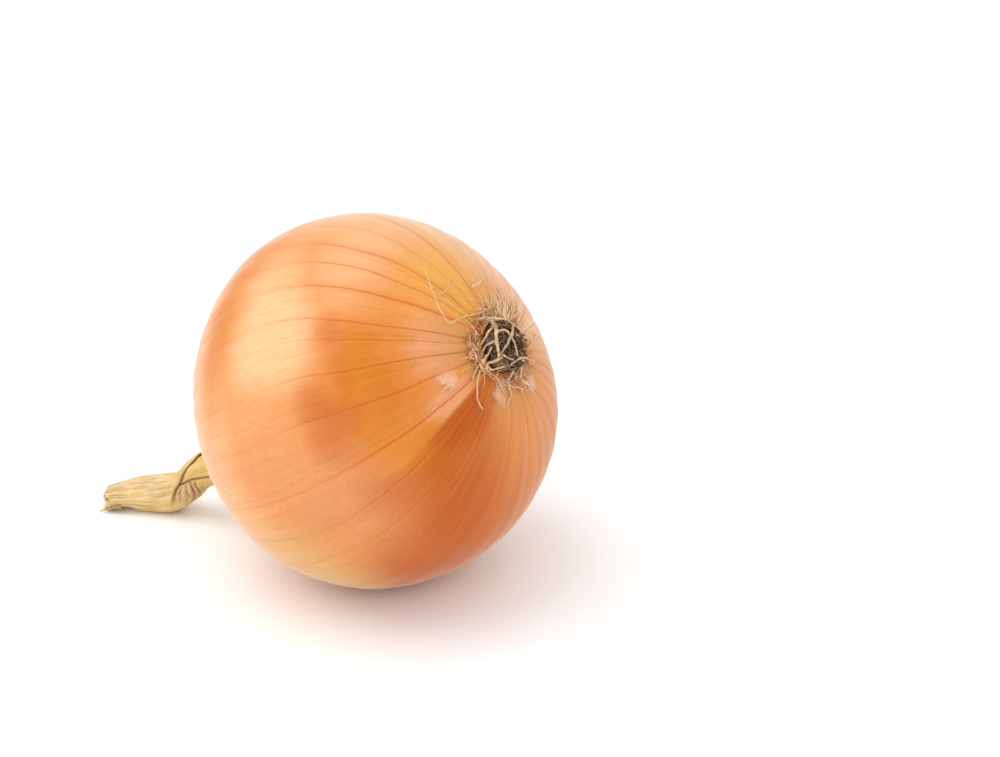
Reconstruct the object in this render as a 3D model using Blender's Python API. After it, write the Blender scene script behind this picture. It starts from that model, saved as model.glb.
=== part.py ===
"""A whole yellow onion, dried and lying on its side: bulb, root plate, rootlets, torn skin and dried neck.

Metres, +Z up. The origin is the middle of the small flat spot that the bulb rests on, and +X runs
along the floor from the dried neck towards the roots. Every piece that grew on the bulb is modelled in
the onion's own frame, whose +Z runs from the roots to the neck, and is placed by one empty, which leans
that frame over until the neck comes down to the floor. The neck and its wrap lie along the floor, so
they are modelled where they lie.
"""

import math
import random

import bmesh
import bpy
from mathutils import Matrix, Vector

# The bulb. Axial places are distances from its middle: towards the roots minus, towards the neck plus.
EQUATOR_RADIUS = 0.0390
ROOT_POLE = 0.0360
NECK_POLE = 0.0347
ROOT_FULLNESS = 2.15
NECK_FULLNESS = 2.0
DIMPLE_DEPTH = 0.0009
DIMPLE_RADIUS = 0.0080
COLLAR_RADIUS = 0.0062
THROAT_PLACE = 0.0410
THROAT_RADIUS = 0.0040
THROAT_FLARE = 0.0130
THROAT_FLARE_PLACE = 0.0330
THROAT_FLARE_LENGTH = 0.0021
THROAT_RISE = 0.0150
THROAT_BLEND = 6
LOBES = ((2, 0.003, 0.6), (3, 0.016, -0.23), (5, 0.002, 2.0))
BULB_SIDES = 56
BULB_RINGS = 34
PROFILE_POINTS = 300

# How the onion lies.
LEAN = math.radians(31.4)
FLAT_DEPTH = 0.0007
LOW_SEARCH_RINGS = 400
LOW_SEARCH_HALF = math.radians(20)
LOW_SEARCH_STEPS = 21

# The root plate and what grows on it. Heights over the plate's base point away from the bulb.
GAP = 0.0003
PLATE_RADIUS = 0.0054
PLATE_HEIGHT = 0.0034
PLATE_OUTLINE = ((0.94, 0.0), (1.0, 0.18), (0.97, 0.50), (0.84, 0.80), (0.58, 0.96), (0.26, 1.0))
PLATE_WAVES = ((3, 0.03, 1.0), (5, 0.04, 0.0))
PLATE_SIDES = 24
ROOT_THICKNESS = 0.0006
NEST_LAYERS = 3
NEST_SECTORS = 3
NEST_STEP = 0.00092
NEST_SWEEP = math.radians(104)
NEST_RIM = (0.84, 0.98)
NEST_DIP = (0.30, 0.52)
NEST_TIP = 0.7
NEST_SEED = 4
SPRAY_ROOTS = 12
SPRAY_CLEARANCE = 0.0011
SPRAY_LIFT = (0.0021, 0.0029)
SPRAY_REACH = (0.006, 0.012)
SPRAY_DRIFT = 0.35
SPRAY_TIP = 0.55
SPRAY_SEED = 11
ROOT_POINTS = 11

# Torn skin round the collar: middle and spread in degrees, inner radius, length.
FLAKES = (
    (-103, 36, 0.0088, 0.0070),
    (-60, 40, 0.0070, 0.0034),
    (-143, 34, 0.0070, 0.0058),
    (62, 46, 0.0070, 0.0072),
    (152, 36, 0.0070, 0.0050),
    (8, 34, 0.0070, 0.0038),
)
FLAKE_THICKNESS = 0.0004
FLAKE_CURL = 0.0003
FLAKE_TAPER = 0.55
FLAKE_STEPS = 6

# The dried neck: middle, half width and half thickness at each point of its route.
NECK_BEND = (
    (Vector((-0.0472, 0.0002, 0.0106)), 0.0036, 0.0035),
    (Vector((-0.0509, -0.0005, 0.0066)), 0.0038, 0.0035),
    (Vector((-0.0551, -0.0010, 0.0042)), 0.0046, 0.0040),
    (Vector((-0.0595, -0.0014, 0.0032)), 0.0052, 0.0034),
    (Vector((-0.0637, -0.0033, 0.0027)), 0.0048, 0.0028),
    (Vector((-0.0668, -0.0050, 0.0022)), 0.0043, 0.0022),
    (Vector((-0.0692, -0.0064, 0.0016)), 0.0039, 0.0017),
)
NECK_FOLDS = 7
NECK_FOLD_DEPTH = 0.07
NECK_FOLD_TWIST = 2.5
NECK_SIDES = 28
NECK_STEPS = 4
NECK_STATION_STEP = 0.0012
WRAP_THICKNESS = 0.0005
WRAP_WIDTH = 0.0024
WRAP_LIFT = 0.0008
WRAP_TURNS = (math.radians(78), math.radians(192))
WRAP_SHARES = (0.125, 0.37)
WRAP_STEPS = 9
WRAP_COLUMNS = 4
FLOOR_SIZE = 0.3


def clear_scene():
    """Removes whatever the file holds."""
    for old in list(bpy.data.objects):
        bpy.data.objects.remove(old)


def plain_material(name, colour, roughness):
    """A Principled material of one colour, for the whole of a piece."""
    made = bpy.data.materials.new(name)
    made.use_nodes = True
    shader = made.node_tree.nodes["Principled BSDF"]
    shader.inputs["Base Color"].default_value = (*colour, 1.0)
    shader.inputs["Roughness"].default_value = roughness
    shader.inputs["Metallic"].default_value = 0.0
    return made


def add_object(name, data, material, parent=None):
    """Links an object that shows data in one material."""
    piece = bpy.data.objects.new(name, data)
    data.materials.append(material)
    piece.parent = parent
    bpy.context.scene.collection.objects.link(piece)
    return piece


def loft(name, rings, material, parent=None):
    """A closed body through rings of points, with a flat cap on its first and last ring."""
    bm = bmesh.new()
    loops = [[bm.verts.new(point) for point in ring] for ring in rings]
    for near, far in zip(loops, loops[1:]):
        for i in range(len(near)):
            j = (i + 1) % len(near)
            bm.faces.new((near[i], near[j], far[j], far[i]))
    bm.faces.new(loops[0])
    bm.faces.new(loops[-1])
    bmesh.ops.recalc_face_normals(bm, faces=bm.faces)
    mesh = bpy.data.meshes.new(name)
    bm.to_mesh(mesh)
    bm.free()
    mesh.shade_smooth()
    return add_object(name, mesh, material, parent)


def sheet(name, rows, thickness, material, parent=None):
    """A thin closed body from a grid of points, which are the middle of its thickness."""
    bm = bmesh.new()
    grid = [[bm.verts.new(point) for point in row] for row in rows]
    for near, far in zip(grid, grid[1:]):
        for i in range(len(near) - 1):
            bm.faces.new((near[i], near[i + 1], far[i + 1], far[i]))
    mesh = bpy.data.meshes.new(name)
    bm.to_mesh(mesh)
    bm.free()
    mesh.shade_smooth()
    piece = add_object(name, mesh, material, parent)
    wall = piece.modifiers.new("thickness", "SOLIDIFY")
    wall.thickness = thickness
    wall.offset = 0.0
    return piece


def strand(name, points, radius, tip_share, material, parent=None):
    """A thin round root along points, which tapers to tip_share of its radius."""
    curve = bpy.data.curves.new(name, "CURVE")
    curve.dimensions = "3D"
    curve.bevel_depth = radius
    curve.bevel_resolution = 1
    curve.use_fill_caps = True
    spline = curve.splines.new("POLY")
    spline.points.add(len(points) - 1)
    for i, (knot, point) in enumerate(zip(spline.points, points)):
        knot.co = (*point, 1.0)
        knot.radius = 1.0 - (1.0 - tip_share) * i / (len(points) - 1)
    return add_object(name, curve, material, parent)


def through(points, steps):
    """A smooth Catmull-Rom curve through points, as steps points for each stretch, with its last point."""
    padded = [2 * points[0] - points[1], *points, 2 * points[-1] - points[-2]]
    found = []
    for a, b, c, d in zip(padded, padded[1:], padded[2:], padded[3:]):
        for k in range(steps):
            t = k / steps
            square, cube = 2 * a - 5 * b + 4 * c - d, 3 * b - a - 3 * c + d
            found.append(0.5 * (2 * b + (c - a) * t + square * t**2 + cube * t**3))
    return [*found, points[-1].copy()]


def lobed(radius, azimuth):
    """Radius with the bulb's slight lobes, which fade towards both ends."""
    lobes = sum(size * math.cos(n * azimuth + turn) for n, size, turn in LOBES)
    return radius * (1.0 + lobes * radius / EQUATOR_RADIUS)


def root_side_place(radius):
    """Where on the axis the bulb's root side has this radius: a superellipse with a dimple at its pole."""
    share = (1.0 - (radius / EQUATOR_RADIUS) ** ROOT_FULLNESS) ** (1.0 / ROOT_FULLNESS)
    return -ROOT_POLE * share + DIMPLE_DEPTH * math.exp(-((radius / DIMPLE_RADIUS) ** 2))


def neck_side_radius(place):
    """The bulb's radius on its neck side: a superellipse that runs smoothly into the flared throat."""
    share = min(1.0, place / NECK_POLE)
    shoulder = EQUATOR_RADIUS * (1.0 - share**NECK_FULLNESS) ** (1.0 / NECK_FULLNESS)
    flare = THROAT_FLARE / (1.0 + math.exp((place - THROAT_FLARE_PLACE) / THROAT_FLARE_LENGTH))
    throat = (THROAT_RADIUS + flare) * math.tanh(place / THROAT_RISE)
    return (shoulder**THROAT_BLEND + throat**THROAT_BLEND) ** (1.0 / THROAT_BLEND)


def bulb_profile(count):
    """(radius, place) pairs from the root collar to the neck's throat, at even steps along the surface."""
    slant = math.asin(COLLAR_RADIUS / EQUATOR_RADIUS)
    dense = []
    for k in range(PROFILE_POINTS):
        radius = EQUATOR_RADIUS * math.sin(slant + (math.pi / 2 - slant) * k / PROFILE_POINTS)
        dense.append(Vector((radius, root_side_place(radius))))
    for k in range(PROFILE_POINTS + 1):
        place = THROAT_PLACE * math.sin(math.pi / 2 * k / PROFILE_POINTS)
        dense.append(Vector((neck_side_radius(place), place)))
    run = [0.0]
    for a, b in zip(dense, dense[1:]):
        run.append(run[-1] + (b - a).length)
    found, k = [], 0
    for i in range(count):
        wanted = run[-1] * i / (count - 1)
        while k < len(run) - 2 and run[k + 1] < wanted:
            k += 1
        found.append(dense[k].lerp(dense[k + 1], (wanted - run[k]) / (run[k + 1] - run[k])))
    return found


def on_bulb(azimuth, radius, lift):
    """A point over the bulb's root side, lift away from its surface along the normal."""
    step = 1e-5
    slope = (root_side_place(radius + step) - root_side_place(radius - step)) / (2 * step)
    outwards = Vector((slope, -1.0)).normalized()
    far = lobed(radius, azimuth) + lift * outwards.x
    place = root_side_place(radius) + lift * outwards.y
    return Vector((far * math.cos(azimuth), far * math.sin(azimuth), place))


def bulb_rings():
    """The bulb's rings of points in the onion's frame."""
    turns = [2 * math.pi * i / BULB_SIDES for i in range(BULB_SIDES)]
    rings = []
    for radius, place in bulb_profile(BULB_RINGS):
        far = [lobed(radius, turn) for turn in turns]
        rings.append([Vector((r * math.cos(t), r * math.sin(t), place)) for r, t in zip(far, turns)])
    return rings


def onion_axis():
    """The empty that leans the onion's frame over and puts the bulb's lowest point under the origin."""
    turn = Matrix.Rotation(-(math.pi / 2 + LEAN), 4, "Y")
    lowest = Vector((0.0, 0.0, 0.0))
    for radius, place in bulb_profile(LOW_SEARCH_RINGS):
        for k in range(LOW_SEARCH_STEPS):
            azimuth = math.pi + LOW_SEARCH_HALF * (2 * k / (LOW_SEARCH_STEPS - 1) - 1)
            far = lobed(radius, azimuth)
            point = turn @ Vector((far * math.cos(azimuth), far * math.sin(azimuth), place))
            if point.z < lowest.z:
                lowest = point
    empty = bpy.data.objects.new("onion_axis", None)
    empty.rotation_euler = turn.to_euler()
    empty.location = (-lowest.x, -lowest.y, -lowest.z - FLAT_DEPTH)
    bpy.context.scene.collection.objects.link(empty)
    bpy.context.view_layer.update()
    return empty


def floor_cutter():
    """The block under the floor, which flattens what rests on it."""
    bm = bmesh.new()
    place = Matrix.Translation((0.0, 0.0, -FLOOR_SIZE / 2))
    bmesh.ops.create_cube(bm, size=FLOOR_SIZE, matrix=place)
    mesh = bpy.data.meshes.new("floor_cutter")
    bm.to_mesh(mesh)
    bm.free()
    cutter = bpy.data.objects.new("floor_cutter", mesh)
    cutter.hide_render = True
    cutter.display_type = "WIRE"
    bpy.context.scene.collection.objects.link(cutter)
    return cutter


def flatten(piece, cutter):
    """Cuts off what would lie below the floor."""
    cut = piece.modifiers.new("floor", "BOOLEAN")
    cut.operation = "DIFFERENCE"
    cut.solver = "EXACT"
    cut.object = cutter


def plate_point(azimuth, share, height):
    """A point over the root plate, share of its radius out and height above its base."""
    waves = sum(size * math.sin(n * azimuth + turn) for n, size, turn in PLATE_WAVES)
    far = PLATE_RADIUS * share * (1.0 + waves)
    base = root_side_place(COLLAR_RADIUS) - GAP
    return Vector((far * math.cos(azimuth), far * math.sin(azimuth), base - height))


def root_plate(axis, material):
    """The corky stump that the roots grow from: a low dome with a worn, slightly wavy rim."""
    turns = [2 * math.pi * i / PLATE_SIDES for i in range(PLATE_SIDES)]
    rings = []
    for share, height in PLATE_OUTLINE:
        rings.append([plate_point(turn, share, PLATE_HEIGHT * height) for turn in turns])
    return loft("root_plate", rings, material, axis)


def nest_roots(axis, material):
    """Stout roots that arch over the plate. Each has its own sector of a layer, and layers are stacked."""
    draw = random.Random(NEST_SEED)
    for layer in range(NEST_LAYERS):
        height = PLATE_HEIGHT + ROOT_THICKNESS / 2 + GAP + NEST_STEP * layer
        for sector in range(NEST_SECTORS):
            start = 2 * math.pi * (sector + layer / NEST_LAYERS) / NEST_SECTORS
            rim = draw.uniform(*NEST_RIM)
            dip = draw.uniform(*NEST_DIP)
            points = []
            for i in range(ROOT_POINTS):
                t = i / (ROOT_POINTS - 1)
                share = rim - dip * math.sin(math.pi * t)
                points.append(plate_point(start + NEST_SWEEP * t, share, height))
            number = layer * NEST_SECTORS + sector + 1
            strand(f"nest_root_{number:02d}", points, ROOT_THICKNESS / 2, NEST_TIP, material, axis)


def spray_roots(axis, material):
    """Roots that leave the plate's rim and lie back over the bulb, each in its own sector."""
    draw = random.Random(SPRAY_SEED)
    sector = 2 * math.pi / SPRAY_ROOTS
    for k in range(SPRAY_ROOTS):
        azimuth = sector * (k + 0.5)
        drift = sector * draw.uniform(-SPRAY_DRIFT, SPRAY_DRIFT)
        reach = draw.uniform(*SPRAY_REACH)
        lift = draw.uniform(*SPRAY_LIFT)
        points = []
        for i in range(ROOT_POINTS):
            t = i / (ROOT_POINTS - 1)
            radius = PLATE_RADIUS + SPRAY_CLEARANCE + reach * t
            points.append(on_bulb(azimuth + drift * t, radius, lift))
        strand(f"spray_root_{k + 1:02d}", points, ROOT_THICKNESS / 2, SPRAY_TIP, material, axis)


def collar_flakes(axis, material):
    """Torn ends of dry skin round the root collar, lying just off the bulb."""
    for k, (middle, spread, inner, length) in enumerate(FLAKES):
        rows = []
        for i in range(FLAKE_STEPS):
            t = i / (FLAKE_STEPS - 1)
            half = math.radians(spread) * (1.0 - FLAKE_TAPER * t) / 2
            lift = 2 * GAP + FLAKE_THICKNESS / 2 + FLAKE_CURL * t * t
            row = []
            for j in range(FLAKE_STEPS):
                across = 2 * j / (FLAKE_STEPS - 1) - 1
                row.append(on_bulb(math.radians(middle) + half * across, inner + length * t, lift))
            rows.append(row)
        sheet(f"collar_flake_{k + 1}", rows, FLAKE_THICKNESS, material, axis)


def neck_stations(axis):
    """(middle, along, half width, half thickness) down the neck, from just off the bulb's throat."""
    along_axis = (axis.matrix_world.to_3x3() @ Vector((0, 0, 1))).normalized()
    first = axis.matrix_world @ Vector((0, 0, THROAT_PLACE + GAP))
    knots = [(first, THROAT_RADIUS, THROAT_RADIUS), *NECK_BEND]
    middles = through([knot[0] for knot in knots], NECK_STEPS)
    sizes = through([Vector((knot[1], knot[2], 0.0)) for knot in knots], NECK_STEPS)
    stations = []
    for i, (middle, size) in enumerate(zip(middles, sizes)):
        along = middles[min(i + 1, len(middles) - 1)] - middles[max(i - 1, 0)]
        along = along_axis if i == 0 else along.normalized()
        stations.append((middle, along, size.x, size.y))
    return stations


def neck_point(station, turn, share, lift=0.0):
    """A point on the neck's folded outline. share runs from 0 at the bulb to 1 at the cut end."""
    middle, along, wide, thick = station
    across = along.cross(Vector((0, 0, 1))).normalized()
    upwards = across.cross(along)
    depth = NECK_FOLD_DEPTH * min(1.0, 3 * share)
    folds = 1.0 + depth * math.cos(NECK_FOLDS * turn + NECK_FOLD_TWIST * share)
    return (
        middle
        + across * (wide * folds + lift) * math.cos(turn)
        + upwards * (thick * folds + lift) * math.sin(turn)
    )


def dried_neck(stations, material):
    """The twisted bundle of withered leaf bases."""
    last = len(stations) - 1
    rings = []
    for i, station in enumerate(stations):
        turns = [2 * math.pi * j / NECK_SIDES for j in range(NECK_SIDES)]
        rings.append([neck_point(station, turn, i / last) for turn in turns])
    return loft("neck", rings, material)


def neck_wrap(stations, material):
    """The strap of dry sheath that crosses the neck at its kink, from the top down one side."""
    last = len(stations) - 1
    rows = []
    for i in range(WRAP_STEPS):
        t = i / (WRAP_STEPS - 1)
        turn = WRAP_TURNS[0] + (WRAP_TURNS[1] - WRAP_TURNS[0]) * t
        share = WRAP_SHARES[0] + (WRAP_SHARES[1] - WRAP_SHARES[0]) * t
        row = []
        for j in range(WRAP_COLUMNS):
            place = last * share + (j / (WRAP_COLUMNS - 1) - 0.5) * WRAP_WIDTH / NECK_STATION_STEP
            low = int(place)
            near = neck_point(stations[low], turn, low / last, WRAP_LIFT)
            far = neck_point(stations[low + 1], turn, (low + 1) / last, WRAP_LIFT)
            row.append(near.lerp(far, place - low))
        rows.append(row)
    return sheet("neck_wrap", rows, WRAP_THICKNESS, material)


def main():
    clear_scene()
    skin = plain_material("onion_skin", (0.80, 0.36, 0.10), 0.42)
    cork = plain_material("root_cork", (0.11, 0.06, 0.035), 0.9)
    root = plain_material("dry_root", (0.42, 0.31, 0.19), 0.75)
    flake = plain_material("torn_skin", (0.66, 0.42, 0.26), 0.6)
    straw = plain_material("dry_leaf", (0.68, 0.50, 0.25), 0.7)

    axis = onion_axis()
    cutter = floor_cutter()
    flatten(loft("bulb", bulb_rings(), skin, axis), cutter)
    root_plate(axis, cork)
    nest_roots(axis, root)
    spray_roots(axis, root)
    collar_flakes(axis, flake)
    stations = neck_stations(axis)
    flatten(dried_neck(stations, straw), cutter)
    neck_wrap(stations, straw)


main()
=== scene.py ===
"""A dried yellow onion lying on its side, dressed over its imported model.

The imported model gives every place. The bulb, its root end and its dried neck are each a class that
holds its sizes, works out its surfaces as whole numpy arrays and dresses them in its own finishes.
Lengths are metres. The onion's own frame has +Z from the roots to the neck, and the azimuth runs
round it from the side that lies uppermost. The slant is 0 at the root pole, 90 degrees at the middle
and 180 at the neck's pole.
"""

import logging
import math
from dataclasses import dataclass, field
from enum import Enum
from functools import cache, reduce
from typing import Sequence

import bpy
import numpy as np
from bpy.types import ID, Material, Node, NodeOutputs, NodeSocket, NodeTree, Object
from mathutils import Matrix, Vector


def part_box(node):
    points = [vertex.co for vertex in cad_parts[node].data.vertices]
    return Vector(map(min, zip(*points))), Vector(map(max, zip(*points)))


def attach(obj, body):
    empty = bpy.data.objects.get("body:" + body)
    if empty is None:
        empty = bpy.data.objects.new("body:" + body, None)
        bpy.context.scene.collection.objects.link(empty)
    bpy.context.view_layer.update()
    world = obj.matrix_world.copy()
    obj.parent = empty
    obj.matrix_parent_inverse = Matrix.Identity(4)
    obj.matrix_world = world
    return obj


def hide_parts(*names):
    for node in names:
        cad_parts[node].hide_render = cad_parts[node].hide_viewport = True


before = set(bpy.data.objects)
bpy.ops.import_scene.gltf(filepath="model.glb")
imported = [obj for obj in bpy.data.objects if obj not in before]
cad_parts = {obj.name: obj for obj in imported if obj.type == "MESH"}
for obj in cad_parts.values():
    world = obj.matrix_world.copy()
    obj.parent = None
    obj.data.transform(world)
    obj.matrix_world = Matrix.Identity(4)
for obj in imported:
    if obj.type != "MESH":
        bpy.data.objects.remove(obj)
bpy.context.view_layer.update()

Array = np.ndarray
Colour = tuple[int, int, int]
Rows = tuple[tuple[float, ...], ...]
Span = tuple[float, float]
log = logging.getLogger("onion")

# ---- Numbers over whole arrays ----


def ease(low: float, high: float, value: Array) -> Array:
    """Rises from 0 at low to 1 at high along 3t^2 - 2t^3, or falls where low is the larger.

    Args:
        low, high: where the change begins and ends.
        value: the array that it reads.

    Returns:
        An array from 0 to 1.
    """
    share = np.clip((value - low) / (high - low), 0.0, 1.0)
    return share * share * (3.0 - 2.0 * share)


def bell(value: Array | float, middle: float, width: float) -> Array:
    """A bell of height 1: exp(-((value - middle) / width)^2)."""
    return np.exp(-(((value - middle) / width) ** 2))


def points_of(*parts: Array | float) -> Array:
    """Points whose coordinates are the parts, each spread over the shape that they have together."""
    return np.stack(np.broadcast_arrays(*parts), -1)


def round_axis(far: Array, azimuth: Array, place: Array | float) -> Array:
    """Points at a distance from the onion's axis, at an azimuth and at a place along it."""
    return points_of(far * np.cos(azimuth), far * np.sin(azimuth), place)


def unit(vectors: Array) -> Array:
    """Vectors of length 1 in the same directions."""
    return vectors / np.maximum(np.linalg.norm(vectors, axis=-1, keepdims=True), 1e-12)


def run_along(path: Array) -> Array:
    """The way along a path at each of its points: the running sum of its steps."""
    return np.concatenate([[0.0], np.cumsum(np.linalg.norm(np.diff(path, axis=0), axis=1))])


def lattice_noise(places: Array, seed: int) -> Array:
    """Smooth noise: a steady random number at each lattice point, blended by 3t^2 - 2t^3 in between.

    Args:
        places: points, as an array (..., 3), with one lattice cell for each unit.
        seed: which of the noises.

    Returns:
        An array (...) from -1 to 1.
    """
    cell = np.floor(places).astype(np.int64)
    part = places - cell
    part = part * part * (3.0 - 2.0 * part)
    total = np.zeros(places.shape[:-1])
    for corner in range(8):
        step = np.array([corner & 1, corner >> 1 & 1, corner >> 2 & 1])
        mixed = ((cell + step) * np.array([73856093, 19349663, 83492791])).sum(-1) + seed * 6542989
        mixed = (mixed ^ (mixed >> 13)) * 1274126177 & 0x7FFFFFFF
        mixed = (mixed ^ (mixed >> 15)) * 69069 & 0x7FFFFFFF
        weight = np.where(step == 1, part, 1.0 - part).prod(-1)
        total += weight * (mixed / 0x3FFFFFFF - 1.0)
    return total


def noise_at(seed: int, octaves: int, *parts: Array | float) -> Array:
    """Lattice noise with finer, weaker noises added: each is twice as fine and half as strong.

    Args:
        seed: which of the noises.
        octaves: how many are added.
        parts: the three coordinates, each spread over the shape that they have together.

    Returns:
        An array of that shape, mostly from -1 to 1.
    """
    places = points_of(*parts)
    return sum(lattice_noise(places * 2**k + 7.3 * k, seed + k) / 2**k for k in range(octaves))


def ring_noise(seed: int, octaves: int, angle: Array, scale: float, along: Array | float) -> Array:
    """Noise that closes on itself round a ring: it is read at scale x (cos, sin) of the angle."""
    return noise_at(seed, octaves, np.cos(angle) * scale, np.sin(angle) * scale, along)


def smooth_path(knots: Array, count: int) -> Array:
    """A Catmull-Rom curve through the knots, read at even steps of its parameter.

    Args:
        knots: (k, d) points or sizes that the curve passes through.
        count: how many points to return.

    Returns:
        (count, d) points.
    """
    knots = np.asarray(knots, float)
    padded = np.vstack([2 * knots[0] - knots[1], knots, 2 * knots[-1] - knots[-2]])
    place = np.linspace(0.0, len(knots) - 1, count)
    start = np.minimum(place.astype(int), len(knots) - 2)
    t = (place - start)[:, None]
    a, b, c, d = (padded[start + k] for k in range(4))
    square, cube = 2 * a - 5 * b + 4 * c - d, 3 * b - a - 3 * c + d
    return 0.5 * (2 * b + (c - a) * t + square * t**2 + cube * t**3)


def side_of_line(places: Array, line: Array) -> Array:
    """How far flat points lie from a line of straight stretches.

    Args:
        places: (..., 2) points.
        line: (k, 2) points of the line.

    Returns:
        The distance to the nearest stretch, positive on the line's left.
    """
    best = np.full(places.shape[:-1], np.inf)
    side = np.zeros_like(best)
    for start, end in zip(line, line[1:]):
        run = end - start
        t = np.clip(((places - start) @ run) / (run @ run), 0.0, 1.0)
        off = places - (start + t[..., None] * run)
        far = np.hypot(off[..., 0], off[..., 1])
        left = np.sign(run[0] * off[..., 1] - run[1] * off[..., 0])
        side = np.where(far < best, left, side)
        best = np.minimum(far, best)
    return best * side


# ---- Surfaces ----


@dataclass
class Surface:
    """A grid of points over two parameters that goes round a closed body, and becomes part of a mesh.

    Attributes:
        points: (rows, columns, 3). The last column joins the first.
        uv: (rows, columns + 1, 2). The extra column is where the surface comes round again.
        values: named numbers for the finish to read, each (rows, columns).
        flat: whether each end row closes across itself, as a leaf's does, and not to a point.
    """

    points: Array
    uv: Array
    values: dict[str, Array] = field(default_factory=dict)
    flat: bool = False

    def faces_and_uv(self, first: int) -> tuple[list[list[int]], Array]:
        """The grid's faces and the UV of their corners.

        Args:
            first: the number of the grid's first vertex in the whole mesh.

        Returns:
            The faces as lists of vertex numbers, and one UV for each corner in the same order.
        """
        rows, columns = self.points.shape[:2]
        i, j = np.meshgrid(np.arange(rows - 1), np.arange(columns), indexing="ij")
        here, right = i * columns + j, i * columns + (j + 1) % columns
        faces = (points_of(here, right, right + columns, here + columns).reshape(-1, 4) + first).tolist()
        corners = (self.uv[i, j], self.uv[i, j + 1], self.uv[i + 1, j + 1], self.uv[i + 1, j])
        uv = [np.stack(corners, -2).reshape(-1, 2)]
        j = np.arange(columns // 2 - 1 if self.flat else columns)
        for row, tip, way in ((0, rows * columns, -1), (rows - 1, rows * columns + 1, 1)):
            if self.flat:
                ends = points_of(j, j + 1, columns - 2 - j, columns - 1 - j)[:, ::way]
                faces += (ends + row * columns + first).tolist()
                uv.append(self.uv[row, ends].reshape(-1, 2))
            else:
                ends = points_of(j, j + 1)[:, ::way]
                fan = points_of(tip, *(row * columns + ends % columns).T)
                faces += (fan + first).tolist()
                own = [self.uv[row, j][:, None], self.uv[row, ends]]
                uv.append(np.concatenate(own, 1).reshape(-1, 2))
        return faces, np.concatenate(uv)

    def vertices(self) -> Array:
        """All vertices: the grid's, then the middle of each end that closes to a point."""
        grid = self.points.reshape(-1, 3)
        return grid if self.flat else np.concatenate([grid, self.points[[0, -1]].mean(1)])

    def numbers(self, name: str) -> Array:
        """One named number for each vertex, in the order of vertices()."""
        grid = self.values.get(name, np.zeros(self.points.shape[:2]))
        return grid.ravel() if self.flat else np.append(grid.ravel(), grid[[0, -1]].mean(1))


def strand(path: Array, radius: Array, around: int, reference: Array, **values: Array | float) -> Surface:
    """A round strand: a circle of its own radius carried along a path, closed at both ends.

    Args:
        path: (n, 3) points of its middle.
        radius: (n,) radii.
        around: how many sides it has.
        reference: a direction that the path never runs along.
        values: named numbers, each one number or (n,) along it.

    Returns:
        The surface. Its UV is once round, and metres along.
    """
    along = unit(np.gradient(path, axis=0))
    across = unit(np.cross(along, reference))[:, None]
    over = np.cross(across[:, 0], along)[:, None]
    turn = np.linspace(0.0, 2 * np.pi, around, endpoint=False)[None, :, None]
    ring = across * np.cos(turn) - over * np.sin(turn)
    points = path[:, None] + radius[:, None, None] * ring
    u, v = np.meshgrid(np.arange(around + 1) / around, run_along(path))
    shape = len(path), around
    grids = {key: np.broadcast_to(np.reshape(value, (-1, 1)), shape) for key, value in values.items()}
    return Surface(points, points_of(u, v), grids)


def leaf(middle: Array, thickness: Array, **values: Array | float) -> Surface:
    """A thin closed leaf: a grid of middle points, pushed half the thickness to both sides.

    Args:
        middle: (rows, columns, 3) points, with columns across the leaf and rows along it.
        thickness: (rows, columns), which may fall to nearly nothing at the edges.
        values: named numbers, each one number or (rows, columns).

    Returns:
        The surface, whose rings go over the leaf and back under it.
    """
    columns = middle.shape[1]
    normal = unit(np.cross(np.gradient(middle, axis=1), np.gradient(middle, axis=0)))
    half = normal * thickness[..., None] / 2

    def both(over: Array, under: Array) -> Array:
        """The upper side's columns, then the lower side's in the other order."""
        return np.concatenate([over, under[:, ::-1]], 1)

    u = np.concatenate([np.linspace(0, 1, columns), np.linspace(1, 0, columns), [0.0]])
    uv = np.stack(np.meshgrid(u, run_along(middle.mean(1))), -1)
    grids = {key: np.broadcast_to(value, thickness.shape) for key, value in values.items()}
    doubled = {key: both(grid, grid) for key, grid in grids.items()}
    return Surface(both(middle + half, middle - half), uv, doubled, flat=True)


def leaf_places(rows: int, columns: int) -> tuple[Array, Array]:
    """The way along a leaf, (rows, 1) from 0 to 1, and across it, (1, columns) from -1 to 1."""
    return np.linspace(0.0, 1.0, rows)[:, None], np.linspace(-1.0, 1.0, columns)[None]


@dataclass(frozen=True)
class OnionAxis:
    """The onion's own frame: how far it leans, and where its middle is.

    Attributes:
        middle: the middle of the bulb.
        lean: how far the root end is raised above the floor's level, in radians.
    """

    middle: tuple[float, float, float]
    lean: float = math.radians(31.4)

    def directions(self) -> Array:
        """Rows: the directions of the onion's X, Y and Z, which are its top side, far side and neck."""
        s, c = math.sin(self.lean), math.cos(self.lean)
        return np.array([[-s, 0.0, c], [0.0, 1.0, 0.0], [-c, 0.0, -s]])

    def placed(self, local: Array) -> Array:
        """Points of the onion's frame where they lie."""
        return local @ self.directions() + np.array(self.middle)

    def turn(self) -> float:
        """The frame's turn about the world's Y, in radians."""
        return -(math.pi / 2 + self.lean)


# ---- Finishes ----


def linear(colour: Colour) -> tuple[float, float, float, float]:
    """A colour given as a screen shows it, 0 to 255, in the linear numbers that shaders take."""
    parts = [value / 255.0 for value in colour]
    return (*(p / 12.92 if p <= 0.04045 else ((p + 0.055) / 1.055) ** 2.4 for p in parts), 1.0)


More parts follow.
